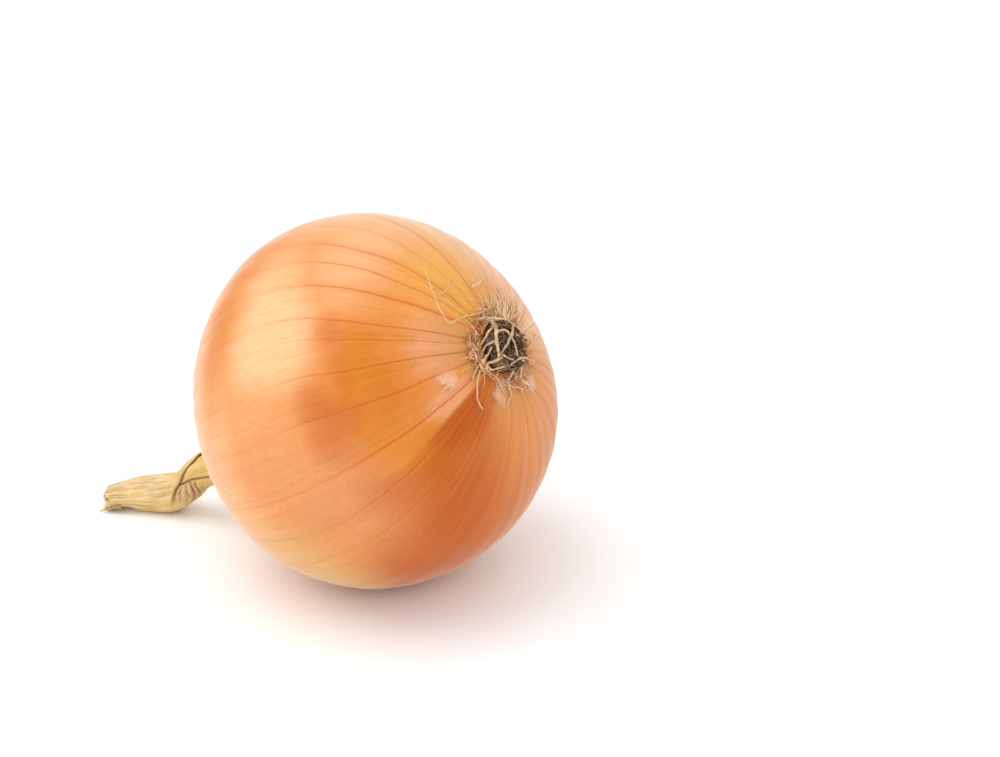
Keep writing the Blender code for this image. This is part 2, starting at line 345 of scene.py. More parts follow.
class Graph:
    """Adds and joins the nodes of one node tree. Each value is a constant or another node's output."""

    def __init__(self, tree: NodeTree) -> None:
        """Keeps the tree that nodes go into."""
        self.tree = tree

    def add(self, kind: str, inputs: dict | None = None, **settings: object) -> Node:
        """Adds a node.

        Args:
            kind: the node's type.
            inputs: sockets by name or number, and what each is given.
            settings: the node's own properties.

        Returns:
            The node.
        """
        node = self.tree.nodes.new(kind)
        for key, value in settings.items():
            setattr(node, key, value)
        self.set(node, inputs or {})
        return node

    def set(self, node: Node, inputs: dict) -> None:
        """Gives a node's sockets constants, or joins other nodes' outputs to them.

        Args:
            node: the node.
            inputs: sockets by name or number, and what each is given.
        """
        for key, value in inputs.items():
            if isinstance(value, NodeSocket):
                self.tree.links.new(value, node.inputs[key])
            else:
                node.inputs[key].default_value = value

    def math(self, operation: str, *values: object, clamp: bool = False) -> NodeSocket:
        """A Math node on up to three values."""
        inputs = dict(enumerate(values))
        return self.add("ShaderNodeMath", inputs, operation=operation, use_clamp=clamp).outputs[0]

    def times(self, first: object, *others: object) -> NodeSocket:
        """The product of all the values."""
        return reduce(lambda product, other: self.math("MULTIPLY", product, other), others, first)

    def plus(self, value: object, weight: object, rest: object) -> NodeSocket:
        """Value x weight + rest."""
        return self.math("MULTIPLY_ADD", value, weight, rest)

    def ramp(
        self, value: object, low: float, high: float, start: float = 0.0, end: float = 1.0
    ) -> NodeSocket:
        """Carries value from low..high to start..end along a smooth step."""
        inputs = {"Value": value, "From Min": low, "From Max": high, "To Min": start, "To Max": end}
        return self.add("ShaderNodeMapRange", inputs, interpolation_type="SMOOTHSTEP").outputs[0]

    def blend(self, share: object, under: object, over: Colour) -> NodeSocket:
        """Mixes a plain colour over another."""
        inputs = {0: share, 6: under, 7: linear(over)}
        return self.add("ShaderNodeMix", inputs, data_type="RGBA").outputs[2]

    def noise(self, place: object, scale: float, detail: float = 3.0, roughness: float = 0.55) -> NodeSocket:
        """Noise from 0 to 1, mostly near a half."""
        inputs = {"Vector": place, "Scale": scale, "Detail": detail, "Roughness": roughness}
        return self.add("ShaderNodeTexNoise", inputs).outputs[0]

    def parts(self, place: object) -> NodeOutputs:
        """The three coordinates of a place."""
        return self.add("ShaderNodeSeparateXYZ", {0: place}).outputs

    def joined(self, *parts: object) -> NodeSocket:
        """The place that has these coordinates."""
        return self.add("ShaderNodeCombineXYZ", dict(enumerate(parts))).outputs[0]

    def group(self, effect: NodeTree, **inputs: object) -> NodeOutputs:
        """Places a shared effect, and returns its outputs."""
        return self.add("ShaderNodeGroup", inputs, node_tree=effect).outputs

    def number(self, name: str) -> NodeSocket:
        """A number that the mesh carries."""
        return self.add("ShaderNodeAttribute", attribute_name=name, attribute_type="GEOMETRY").outputs["Fac"]

    def grain(self) -> NodeSocket:
        """The piece's own UV map."""
        return self.add("ShaderNodeUVMap", uv_map="grain").outputs[0]

    def place(self) -> NodeSocket:
        """The point's place on the object."""
        return self.add("ShaderNodeTexCoord").outputs["Object"]

    def bump(self, height: object, strength: float, depth: float) -> NodeSocket:
        """A normal from a height in units of depth."""
        inputs = {"Height": height, "Strength": strength, "Distance": depth}
        return self.add("ShaderNodeBump", inputs).outputs[0]


class SocketKind(Enum):
    """The kinds of socket that a shared effect has."""

    NUMBER = "NodeSocketFloat"
    PLACE = "NodeSocketVector"


def start_effect(name: str, *numbers: str) -> tuple[Graph, NodeOutputs]:
    """Begins a shader node group that several finishes can use.

    Args:
        name: the group's name.
        numbers: the names of its number inputs, which come after the input Place.

    Returns:
        Its graph and its inputs.
    """
    tree = bpy.data.node_groups.new(name, "ShaderNodeTree")
    for label, kind in {"Place": SocketKind.PLACE, **dict.fromkeys(numbers, SocketKind.NUMBER)}.items():
        tree.interface.new_socket(label, in_out="INPUT", socket_type=kind.value)
    graph = Graph(tree)
    return graph, graph.add("NodeGroupInput").outputs


def end_effect(graph: Graph, **found: NodeSocket) -> NodeTree:
    """Gives a group its outputs, which are all numbers.

    Args:
        graph: the group's graph.
        found: each output's name and where it comes from.

    Returns:
        The group.
    """
    for label in found:
        graph.tree.interface.new_socket(label, in_out="OUTPUT", socket_type=SocketKind.NUMBER.value)
    graph.add("NodeGroupOutput", found)
    return graph.tree


@cache
def fibre_effect() -> NodeTree:
    """Fibres along a piece: noise stretched along the UV's second axis, as Broad and Fine, each 0 to 1.

    Across is how many fibres lie in one unit of the first axis, and Along how many lengths in a metre.

    Returns:
        The group.
    """
    graph, given = start_effect("plant_fibres", "Across", "Along")
    across, along, _ = graph.parts(given["Place"])
    place = graph.joined(graph.times(across, given["Across"]), graph.times(along, given["Along"]))
    return end_effect(graph, Broad=graph.noise(place, 1.0), Fine=graph.noise(place, 3.7, 4.0, 0.65))


@cache
def streak_effect(axis: OnionAxis) -> NodeTree:
    """Streaks along the onion's meridians, as Broad, Fine and Hair, each 0 to 1.

    The place is turned into the onion's frame, and its distance from the axis is divided out, so that a
    streak keeps its azimuth from the roots to the neck. Density is how many cells lie in a radian.

    Args:
        axis: the onion's frame.

    Returns:
        The group.
    """
    graph, given = start_effect("meridian_streaks", "Density")
    inputs = {"Vector": given["Place"], "Location": axis.middle, "Rotation": (0.0, axis.turn(), 0.0)}
    x, y, z = graph.parts(graph.add("ShaderNodeMapping", inputs, vector_type="TEXTURE").outputs[0])
    far = graph.math("SQRT", graph.plus(x, x, graph.times(y, y)))
    share = graph.math("DIVIDE", given["Density"], graph.math("MAXIMUM", far, 0.001))
    height = graph.times(z, graph.times(given["Density"], 1.3))
    place = graph.joined(graph.times(x, share), graph.times(y, share), height)
    broad, fine = graph.noise(place, 1.0, 2.0), graph.noise(place, 4.3, 3.0, 0.6)
    return end_effect(graph, Broad=broad, Fine=fine, Hair=graph.noise(place, 11.0, 2.0, 0.6))


@cache
def vein_effect() -> NodeTree:
    """Thin lines at each whole number of the UV's first axis, and fainter ones at odd thirds between.

    Gap is the way between two lines in metres, and Width a line's half width in metres. Each line has
    its own steady weight. The output Line is 1 in the middle of a strong line, and Stain is wider.

    Returns:
        The group.
    """
    graph, given = start_effect("meridian_veins", "Gap", "Width")
    across, along, _ = graph.parts(given["Place"])
    stretched = graph.joined(across, graph.times(along, 130.0))
    waver = graph.ramp(graph.noise(stretched, 1.0), 0.2, 0.8, -0.035, 0.035)
    count = graph.math("ADD", across, waver)
    unbroken = graph.ramp(graph.noise(stretched, 3.1, 4.0, 0.7), 0.26, 0.44, 0.45, 1.0)

    def line(times: float, weak: float, strong: float, wide: float) -> NodeSocket:
        """Lines at each whole number of count x times.

        Args:
            times: how many lines there are for each vein.
            weak, strong: the range of their own strengths.
            wide: how wide they are, in widths of a vein.

        Returns:
            How much of each point a line covers.
        """
        many = graph.times(count, times)
        nearest = graph.math("ROUND", many)
        gap = graph.math("DIVIDE", given["Gap"], times)
        away = graph.times(graph.math("ABSOLUTE", graph.math("SUBTRACT", many, nearest)), gap)
        weight = graph.add("ShaderNodeTexWhiteNoise", {"W": nearest}, noise_dimensions="1D").outputs[0]
        width = graph.times(given["Width"], graph.ramp(weight, 0.0, 1.0, 0.8 * wide, 1.2 * wide))
        cover = graph.ramp(graph.math("DIVIDE", away, width), 0.0, 1.0, 1.0, 0.0)
        return graph.times(cover, unbroken, graph.ramp(weight, 0.0, 1.0, weak, strong))

    fine = graph.math("MAXIMUM", line(1.0, 0.8, 1.0, 1.0), line(3.0, -0.25, 0.46, 0.75))
    return end_effect(graph, Line=fine, Stain=line(1.0, 0.3, 1.0, 6.5))


def new_finish(name: str) -> tuple[Material, Graph, Node]:
    """A new material.

    Args:
        name: its name.

    Returns:
        The material, its graph and its Principled shader.
    """
    material = bpy.data.materials.new(name)
    material.use_nodes = True
    return material, Graph(material.node_tree), material.node_tree.nodes["Principled BSDF"]


class Tint(Enum):
    """The colours that lie in patches over the skin, each over those before it. Some of the patches are
    painted highlight, painted reflection or painted shade.
    """

    # Partly pale skin, and partly a painted highlight and a painted reflection of the bright surroundings
    # along the rim.
    PALE = (254, 204, 152)
    GOLDEN = (216, 124, 6)
    ROSY = (198, 92, 14)
    PINK = (240, 172, 128)
    YELLOW = (246, 182, 78)
    TAN = (214, 166, 102)
    STRAW = (234, 190, 118)
    BARE = (190, 84, 0)

    @property
    def key(self) -> str:
        """The name of the mesh's attribute that says how strong the tint is."""
        return self.name.lower()


@dataclass(frozen=True)
class SkinFinish:
    """The dry outer skin: warm patches, some of them painted highlight, painted reflection and painted shade,
    dark meridian veins, fine fibres and a satin gloss.
    """

    axis: OnionAxis
    base: Colour = (237, 154, 84)
    vein: Colour = (146, 76, 18)
    stain: Colour = (214, 112, 44)
    speck: Colour = (255, 232, 214)
    vein_half_width: float = 0.00029
    vein_cover: float = 0.64
    stain_cover: float = 0.4
    fleck_cover: float = 0.26
    roughness: float = 0.42
    bare_gloss: float = 0.14
    streak_density: float = 24.0
    mottle_density: float = 1100.0
    fleck_density: float = 1700.0
    speck_density: float = 2400.0
    brightness: float = 0.805
    bump_depth: float = 0.0001

    @cache
    def material(self) -> Material:
        """Mixes the patches in turn, tones them with streaks, then draws the veins.

        Returns:
            The material, which reads the mesh's patch numbers, its UV map and Object coordinates.
        """
        material, graph, shader = new_finish("onion_skin")
        place = graph.place()
        broad, fine, hair = graph.group(streak_effect(self.axis), Place=place, Density=self.streak_density)
        mottle = graph.noise(place, self.mottle_density, 3.0, 0.6)
        colour: object = linear(self.base)
        for tint in Tint:
            colour = graph.blend(graph.number(tint.key), colour, tint.value)
        tone = graph.ramp(broad, 0.3, 0.7, 0.97 * self.brightness, 1.03 * self.brightness)
        for part, depth in ((fine, 0.035), (hair, 0.03), (mottle, 0.03)):
            tone = graph.times(tone, graph.ramp(part, 0.28, 0.72, 1 - depth, 1 + depth))
        toned = graph.add("ShaderNodeVectorMath", {0: colour, 3: tone}, operation="SCALE").outputs[0]
        grain = graph.times(graph.ramp(fine, 0.46, 0.74, 0.0, 0.45), graph.ramp(hair, 0.3, 0.65, 0.45, 1.0))
        colour = graph.blend(grain, toned, self.stain)

        inputs = {"Place": graph.grain(), "Gap": graph.number("gap"), "Width": self.vein_half_width}
        line, stain = graph.group(vein_effect(), **inputs)
        strength = graph.number("vein_strength")
        stain = graph.math("MULTIPLY", graph.times(stain, strength), self.stain_cover, clamp=True)
        line = graph.math("MULTIPLY", line, strength, clamp=True)
        fleck = graph.ramp(graph.noise(place, self.fleck_density, 2.0), 0.65, 0.76)
        fleck = graph.times(fleck, self.fleck_cover)
        speck = graph.ramp(graph.noise(place, self.speck_density), 0.58, 0.70, 0.0, 0.2)
        speck = graph.times(speck, graph.number(Tint.PINK.key))
        colour = graph.blend(stain, colour, self.stain)
        colour = graph.blend(graph.times(line, self.vein_cover), colour, self.vein)
        colour = graph.blend(speck, graph.blend(fleck, colour, self.vein), self.speck)

        rough = graph.ramp(fine, 0.3, 0.7, self.roughness - 0.05, self.roughness + 0.08)
        height = graph.plus(line, -0.8, graph.times(fine, 0.7))
        height = graph.plus(mottle, 0.25, graph.plus(hair, 0.5, height))
        graph.set(shader, {
            "Base Color": colour,
            "Roughness": graph.plus(graph.number(Tint.BARE.key), -self.bare_gloss, rough),
            "Normal": graph.bump(height, 0.5, self.bump_depth),
            "Specular IOR Level": 0.17,
            "Sheen Weight": 0.4,
            "Sheen Roughness": 0.3,
        })  # fmt: skip
        return material


@dataclass(frozen=True)
class FibreFinish:
    """A dry, fibrous plant finish.

    Attributes:
        name: the material's name.
        dark, light: the colours that the fibres run between.
        hollow, blush: the colours that the mesh's numbers of those names lay over them.
        across, along: fibres in one unit across the piece, and lengths of fibre in a metre.
        cloud_density, fleck_density: cells of its broad clouds and of its flecks in a metre.
        roughness, depth: its mean roughness, and how deep its fibres are.
        spots: how strong its dark flecks are, 0 to 1.
        hollow, blush: the colours that the mesh's numbers of those names lay over them. The first is partly
            the piece's own dark colour and partly painted shade.
    """

    name: str
    dark: Colour
    light: Colour
    hollow: Colour
    blush: Colour
    across: float = 24.0
    along: float = 90.0
    roughness: float = 0.72
    depth: float = 0.00012
    spots: float = 0.0
    solid: float = 1.0
    cloud_density: float = 260.0
    fleck_density: float = 900.0

    @cache
    def material(self) -> Material:
        """Mixes dark to light by the fibres, then the mesh's "blush" and "hollow" numbers; the latter is
        partly painted shade.

        Returns:
            The material.
        """
        material, graph, shader = new_finish(self.name)
        inputs = {"Place": graph.grain(), "Across": self.across, "Along": self.along}
        broad, fine = graph.group(fibre_effect(), **inputs)
        cloud = graph.noise(graph.place(), self.cloud_density)
        share = graph.plus(cloud, 0.4, graph.plus(fine, 0.5, graph.times(broad, 0.5)))
        colour = graph.blend(graph.ramp(share, 0.5, 0.9), linear(self.dark), self.light)
        colour = graph.blend(graph.number("blush"), colour, self.blush)
        # The dark colour here is partly the piece's own and partly painted shade.
        colour = graph.blend(graph.number("hollow"), colour, self.hollow)
        if self.spots:
            fleck = graph.noise(graph.place(), self.fleck_density)
            fleck = graph.ramp(fleck, 0.6, 0.72, 0.0, self.spots)
            colour = graph.blend(fleck, colour, self.hollow)
        if self.solid < 1.0:
            patchy = graph.plus(cloud, 0.7, graph.times(broad, 0.3))
            cover = graph.ramp(patchy, 0.34, 0.66, 0.6 * self.solid, 1.6 * self.solid)
            graph.set(shader, {"Alpha": graph.times(cover, graph.number("solid"))})
        graph.set(shader, {
            "Base Color": colour,
            "Roughness": graph.ramp(fine, 0.3, 0.7, self.roughness - 0.08, self.roughness + 0.1),
            "Normal": graph.bump(graph.plus(fine, 0.6, broad), 0.6, self.depth),
        })  # fmt: skip
        return material


class Slot(Enum):
    """Material slot names, which five of the finishes share; nothing here reads them."""

    SKIN = "onion_skin"
    CORK = "root_cork"
    ROOT = "dry_root"
    TORN = "torn_skin"
    LEAF = "dry_leaf"


def add_object(name: str, data: ID, place: Matrix | None = None) -> Object:
    """Adds an object to the scene.

    Args:
        name: its name.
        data: its mesh, light or camera.
        place: where it stands, if not at the origin.

    Returns:
        The object.
    """
    made = bpy.data.objects.new(name, data)
    made.matrix_world = place or Matrix()
    bpy.context.scene.collection.objects.link(made)
    return made


def make_piece(
    name: str,
    surfaces: Sequence[Surface],
    finish: SkinFinish | FibreFinish,
    nodes: Sequence[str] = (),
) -> None:
    """Makes one smooth-shaded object of several surfaces, which rides on the onion.

    Args:
        name: the piece's name.
        surfaces: its surfaces, which stay apart in the one mesh.
        finish: what it is dressed in.
        nodes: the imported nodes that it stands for.
    """
    faces: list[list[int]] = []
    corners, vertices = [], []
    first = 0
    for surface in surfaces:
        own_faces, own_uv = surface.faces_and_uv(first)
        faces += own_faces
        corners.append(own_uv)
        vertices.append(surface.vertices())
        first += len(vertices[-1])
    mesh = bpy.data.meshes.new(name)
    mesh.from_pydata(np.concatenate(vertices), [], faces)
    grain = mesh.uv_layers.new(name="grain")
    grain.data.foreach_set("uv", np.concatenate(corners).astype(np.float32).ravel())
    for key in sorted({key for surface in surfaces for key in surface.values}):
        numbers = np.concatenate([surface.numbers(key) for surface in surfaces]).astype(np.float32)
        mesh.attributes.new(key, "FLOAT", "POINT").data.foreach_set("value", numbers)
    mesh.shade_smooth()
    mesh.update()
    mesh.materials.append(finish.material())
    piece = add_object(name, mesh)
    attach(piece, "root")
    if nodes:
        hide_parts(*nodes)
    log.info("%s: %d vertices, stands for %d nodes", name, first, len(nodes))


def nodes_named(start: str) -> list[str]:
    """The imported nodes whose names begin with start, in order."""
    return sorted(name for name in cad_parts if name.startswith(start))


# ---- The bulb ----


@dataclass(frozen=True)
class BulbForm:
    """The bulb's outline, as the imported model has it. Places are along its axis from its middle."""

    equator: float = 0.0390
    root_pole: float = 0.0360
    neck_pole: float = 0.0347
    root_fullness: float = 2.15
    neck_fullness: float = 2.0
    dimple_depth: float = 0.0009
    dimple_radius: float = 0.0080
    throat_place: float = 0.0410
    throat_radius: float = 0.0040
    flare: float = 0.0130
    flare_place: float = 0.0330
    flare_length: float = 0.0021
    throat_rise: float = 0.0150
    throat_blend: int = 6
    lobes: Rows = ((2, 0.003, 0.6), (3, 0.016, -0.23), (5, 0.002, 2.0))

    def lobed(self, radius: Array, azimuth: Array) -> Array:
        """Radius x (1 + the sum of size cos(n azimuth + turn) x radius / equator)."""
        waves = sum(size * np.cos(n * azimuth + turn) for n, size, turn in self.lobes)
        return radius * (1.0 + waves * radius / self.equator)

    def root_place(self, radius: Array | float) -> Array:
        """The root side's place: -pole (1 - (radius / equator)^n)^(1/n), with a bell for a dimple.

        Args:
            radius: the distance from the axis.

        Returns:
            The place along the axis, which is below 0.
        """
        share = np.minimum(radius, self.equator) / self.equator
        inside = np.clip(1.0 - share**self.root_fullness, 0.0, 1.0)
        dimple = self.dimple_depth * bell(radius, 0.0, self.dimple_radius)
        return dimple - self.root_pole * inside ** (1.0 / self.root_fullness)

    def neck_radius(self, place: Array) -> Array:
        """The neck side's radius: the 6-norm of a superellipse and a flared, rising throat.

        Args:
            place: the place along the axis, from 0 up.

        Returns:
            The distance from the axis.
        """
        share = np.clip(place / self.neck_pole, 0.0, 1.0)
        shoulder = self.equator * (1.0 - share**self.neck_fullness) ** (1.0 / self.neck_fullness)
        flare = self.flare / (1.0 + np.exp((place - self.flare_place) / self.flare_length))
        throat = (self.throat_radius + flare) * np.tanh(place / self.throat_rise)
        return (shoulder**self.throat_blend + throat**self.throat_blend) ** (1.0 / self.throat_blend)

    def profile(self, count: int, first: float) -> Array:
        """Points along a meridian at even steps.

        Args:
            count: how many.
            first: the radius of the first, near the root pole.

        Returns:
            (count, 2): radius and place.
        """
        radius = self.equator * np.sin(np.linspace(math.asin(first / self.equator), np.pi / 2, 2000))
        place = self.throat_place * np.sin(np.linspace(0.0, np.pi / 2, 2001))
        root_side = points_of(radius, self.root_place(radius))[:-1]
        line = np.concatenate([root_side, points_of(self.neck_radius(place), place)])
        run = run_along(line)
        wanted = np.linspace(0.0, run[-1], count)
        return points_of(*(np.interp(wanted, run, side) for side in line.T))

    def over_root(self, azimuth: Array, radius: Array, lift: Array) -> Array:
        """Points over the root side, lifted along its normal.

        Args:
            azimuth, radius: where they are.
            lift: how far off the skin.

        Returns:
            (..., 3) points of the onion's frame.
        """
        step = 1e-5
        slope = (self.root_place(radius + step) - self.root_place(radius - step)) / (2 * step)
        length = np.hypot(slope, 1.0)
        far = self.lobed(radius, azimuth) + lift * slope / length
        return round_axis(far, azimuth, self.root_place(radius) - lift / length)


@dataclass(frozen=True)
class Patch:
    """A soft patch of colour on the skin. Angles are degrees.

    Attributes:
        azimuth, slant: its middle.
        wide, long: its half sizes in azimuth and slant.
        edge: how much of its size its edge takes, 0 to 1.
        strength: how much of its colour it takes, 0 to 1.
        skew: how far its azimuth moves for each degree of slant.
    """

    azimuth: float
    slant: float
    wide: float
    long: float
    edge: float
    strength: float
    skew: float = 0.0

    def cover(self, azimuth: Array, slant: Array) -> Array:
        """Strength inside the ellipse of its half sizes, with a fall over its edge.

        Args:
            azimuth, slant: degrees.

        Returns:
            How much of each point it covers.
        """
        off = azimuth - self.azimuth - self.skew * (slant - self.slant)
        off = (off + 180.0) % 360.0 - 180.0
        far = np.hypot(off / self.wide, (slant - self.slant) / self.long)
        return self.strength * ease(1.0 + self.edge / 2, 1.0 - self.edge / 2, far)


# Each row is a Patch: azimuth, slant, half sizes, edge, strength and skew.
PATCHES: dict[Tint, Rows] = {
    # These patches paint the broad highlight on the upper left and the pale reflection along the rim, as well
    # as pale skin.
    Tint.PALE: (
        (-48, 79, 25, 15, 1.3, 0.92), (24, 60, 34, 30, 1.5, 0.85), (-14, 52, 24, 12, 1.5, 0.6),
        (46, 30, 26, 20, 1.5, 0.75), (72, 19, 34, 12, 1.4, 1.0), (-92, 118, 60, 20, 1.5, 0.55),
        (-10, 118, 40, 20, 1.5, 0.4), (150, 96, 40, 20, 1.6, 0.5), (-90, 87, 32, 14, 1.5, 0.35),
    ),
    Tint.GOLDEN: (
        (-79, 49, 31, 10, 0.7, 0.85), (-80, 45, 34, 17, 1.2, 0.55), (-112, 41, 14, 10, 1.0, 0.9),
        (150, 50, 40, 20, 1.2, 0.7), (75, 66, 30, 20, 1.4, 0.5), (-38, 99, 17, 14, 1.4, 0.7, -1.5),
    ),
    Tint.ROSY: (
        (-85, 64, 14, 9, 1.6, 0.75), (-74, 57, 18, 4, 1.4, 0.3), (-52, 59, 8, 5, 1.4, 0.45),
        # The patch at azimuth -152 is rosy skin and also painted shade on the low side next to the floor.
        (-92, 44, 21, 8, 1.4, 0.2), (-104, 81, 30, 18, 1.6, 0.26), (-152, 70, 25, 36, 1.4, 0.9),
        (-114, 62, 14, 10, 1.6, 0.45), (110, 78, 24, 12, 1.5, 0.5), (178, 88, 30, 14, 1.5, 0.4),
        (-74, 8.0, 52, 3.5, 1.2, 0.5),
    ),
    Tint.PINK: (
        (-102, 25, 5.5, 9, 1.0, 0.8), (-88, 25, 7, 5, 1.2, 0.5), (-27, 20.5, 6, 3, 1.2, 0.8),
        (-112, 68, 22, 12, 1.6, 0.3), (30, 22, 22, 8, 1.5, 0.6), (-64, 25, 22, 8, 1.4, 0.65),
        (120, 110, 50, 20, 1.6, 0.5),
    ),
    Tint.YELLOW: (
        (-6, 25, 34, 14, 1.3, 0.75), (-20, 13, 32, 6, 1.3, 1.0), (-104, 46, 14, 9, 1.3, 0.2),
        (24, 14, 30, 7, 1.3, 0.75),
    ),
    Tint.TAN: (
        (-66, 19, 19, 6, 1.4, 0.45), (-70, 12, 34, 4, 1.2, 0.9), (120, 16, 34, 7, 1.3, 0.35),
        (-150, 14, 26, 5, 1.3, 0.5),
    ),
    Tint.STRAW: ((-130, 104, 19, 14, 1.6, 0.8), (66, 13, 26, 7, 1.4, 0.5)),
    Tint.BARE: ((-116, 27, 19, 18, 1.4, 1.0), (-128, 43, 24, 20, 1.6, 0.75)),
}  # fmt: skip


@dataclass(frozen=True)
class Bulb:
    """The bulb's dry outer skin, with its patches, its veins, its ribs and its torn lip at the neck."""

    axis: OnionAxis
    form: BulbForm
    rows: int = 212
    columns: int = 460
    first_radius: float = 0.0012
    throat: Span = (0.024, 0.040)
    lip_radius: float = 0.00015
    lip_ragged: float = 0.0022
    lip_steps: Rows = ((0.00018, 0.0), (0.00035, -0.0025))
    flat_softness: float = 0.00025
    skin_thickness: float = 0.00018
    lump_height: float = 0.00016
    rib_height: float = 0.00005
    pucker_height: float = 0.00022
    fold_height: float = 0.00032
    streak_height: float = 0.00003
    torn_edge: float = -108.0
    veins: Rows = (
        (-179, 0.5), (-169, 0.3), (-158, 0.5), (-147, 0.3), (-139, 0.3), (-131, 0.4), (-122, 0.5),
        (-111, 0.8), (-98.5, 0.9), (-91, 0.12), (-82.5, 0.75), (-70.5, 1.0), (-60.5, 0.65), (-53.5, 0.75),
        (-45.5, 0.15), (-38, 0.95), (-26, 0.9), (-16, 0.8), (-4, 0.7), (10, 0.7), (25, 0.45),
        (38, 0.6), (48, 0.5), (59, 0.7), (70, 0.5), (80, 0.8), (91, 0.6), (101, 0.7), (112, 0.5),
        (122, 0.8), (131, 0.6), (141, 0.5), (152, 0.8), (162, 0.5), (171, 0.7),
    )  # fmt: skip

    def vein_rounds(self) -> tuple[Array, Array]:
        """The veins' azimuths in degrees, over three rounds, and their strengths."""
        places, weights = np.array(self.veins).T
        return np.concatenate([places - 360, places, places + 360]), np.tile(weights, 3)

    def vein_count(self, azimuth: Array) -> Array:
        """How many veins lie between the first one and each azimuth, in degrees, growing round and round."""
        places, _ = self.vein_rounds()
        return np.interp(azimuth, places, np.arange(len(places)) - len(self.veins))

    def vein_weight(self, azimuth: Array) -> Array:
        """How strong the veins are at each azimuth, in degrees."""
        return np.interp((azimuth + 180) % 360 - 180, *self.vein_rounds())

    def slant(self, radius: Array, place: Array) -> Array:
        """The slant: asin((radius / equator)^(n / 2)) on the root side, then 90 + asin(place / pole).

        Args:
            radius, place: points of the profile.

        Returns:
            Degrees.
        """
        share = np.clip(radius / self.form.equator, 0, 1) ** (self.form.root_fullness / 2)
        beyond = 90 + np.degrees(np.arcsin(np.clip(place / self.form.neck_pole, 0, 1)))
        return np.where(place < 0, np.degrees(np.arcsin(share)), beyond)

    def tints(self, azimuth: Array, slant: Array, streak: Array) -> dict[str, Array]:
        """The strength of each tint, each the largest of its patches'.

        Args:
            azimuth, slant: degrees.
            streak: noise that pulls the patches' edges along the meridians.

        Returns:
            Tint names and their grids.
        """
        soft = ring_noise(5, 2, np.radians(azimuth), 3, slant / 25)
        pulled = azimuth + 5 * soft, slant + 2.5 * streak
        found = {tint.key: np.max([Patch(*row).cover(*pulled) for row in PATCHES[tint]], 0) for tint in Tint}
        found[Tint.BARE.key] *= ease(self.torn_edge + 2.0, self.torn_edge - 1.5, azimuth + 3 * soft)
        neck = ease(150, 185, slant + 6 * streak + 5 * soft)
        found[Tint.STRAW.key] = np.maximum(found[Tint.STRAW.key], neck)
        return found

    def relief(self, azimuth: Array, slant: Array, radius: Array, points: Array, count: Array) -> Array:
        """How far the skin stands off the plain form.

        Broad lumps lie all over it, shallow ribs between the veins, puckers round the roots and folds
        at the throat.

        Args:
            azimuth: radians.
            slant: degrees.
            radius: the profile's radius.
            points: the plain form's points.
            count: the running number of the vein.

        Returns:
            A grid of heights.
        """
        place = points[..., 2]
        lumps = self.lump_height * noise_at(31, 2, *np.moveaxis(points / 0.017, -1, 0))
        ribs = -self.rib_height * np.cos(2 * np.pi * count) * ease(4, 14, slant)
        pucker = bell(radius, 0.0085, 0.0035) * (place < 0)
        puckers = self.pucker_height * pucker * ring_noise(41, 2, azimuth, 9, slant / 30)
        fold = 0.5 - np.abs(ring_noise(47, 2, azimuth, 5.5, place / 0.02))
        folds = self.fold_height * ease(*self.throat, place) * fold
        return lumps + ribs + puckers + folds

    def surface(self) -> Surface:
        """The skin as one surface from under the root plate to inside the neck.

        The profile is carried round the axis and pushed along its normal by the relief, and inwards
        where the outer skin is missing. Its lip is ragged, and turns into the throat. What would lie
        under the floor is flattened by (z + sqrt(z^2 + e^2)) / 2.

        Returns:
            The surface, with its tints, vein_strength and gap.
        """
        turn = np.linspace(-np.pi, np.pi, self.columns, endpoint=False)
        profile = self.form.profile(self.rows, self.first_radius)
        radius, place, azimuth = np.broadcast_arrays(*profile.T[..., None], turn)
        slant = self.slant(radius, place)
        degrees = np.degrees(azimuth)
        streak = ring_noise(11, 3, azimuth, 13, slant / 45)
        numbers = self.tints(degrees, slant, streak)

        drift = 7 * ease(15, 80, slant) * bell(degrees, -54, 24)
        seen = degrees - drift - 1.6 * ring_noise(23, 2, azimuth, 2.5, slant / 40)
        count = self.vein_count(np.concatenate([seen, seen[:, :1] + 360], 1))
        far = self.form.lobed(radius, azimuth)
        numbers["gap"] = 2 * np.pi * far / self.columns / np.maximum(np.diff(count, axis=1), 1e-6)
        fade = 0.27 + 0.73 * ease(84, 48, slant) + 0.15 * ease(140, 175, slant)
        numbers["vein_strength"] = self.vein_weight(degrees - drift) * fade * ease(4, 11, slant)

        plain = round_axis(far, azimuth, place)
        push = self.relief(azimuth, slant, radius, plain, count[:, :-1])
        push = push - self.skin_thickness * numbers[Tint.BARE.key] + self.streak_height * streak
        slope = np.gradient(profile, axis=0)
        out, up = unit(points_of(slope[:, 1], -slope[:, 0])).T[..., None]
        ragged = self.lip_ragged * ring_noise(53, 4, turn, 4.5, 0) + 0.0006
        lip = np.linspace(0, 1, self.rows)[:, None] ** 40
        far = far + push * out + self.lip_radius * ease(*self.throat, place)
        body = round_axis(far, azimuth, place + push * up + lip * ragged)
        inner = [body[-1] + round_axis(-step, turn, drop) for step, drop in self.lip_steps]
        points = self.axis.placed(np.concatenate([body, inner]))
        height = points[..., 2]
        points[..., 2] = (height + np.hypot(height, self.flat_softness)) / 2

        uv = points_of(count, run_along(profile)[:, None])
        repeat = [*range(self.rows), self.rows - 1, self.rows - 1]
        return Surface(points, uv[repeat], {key: grid[repeat] for key, grid in numbers.items()})

    def build(self) -> None:
        """Makes the skin and dresses it."""
        make_piece("bulb_skin", [self.surface()], SkinFinish(self.axis), ["bulb"])


# ---- The root end ----


@dataclass(frozen=True)
class RootRoute:
    """One dry root: knots of (azimuth in degrees, radius and lift in millimetres), its thickness and tip."""

    knots: Rows
    thickness: float
    tip: float = 0.55


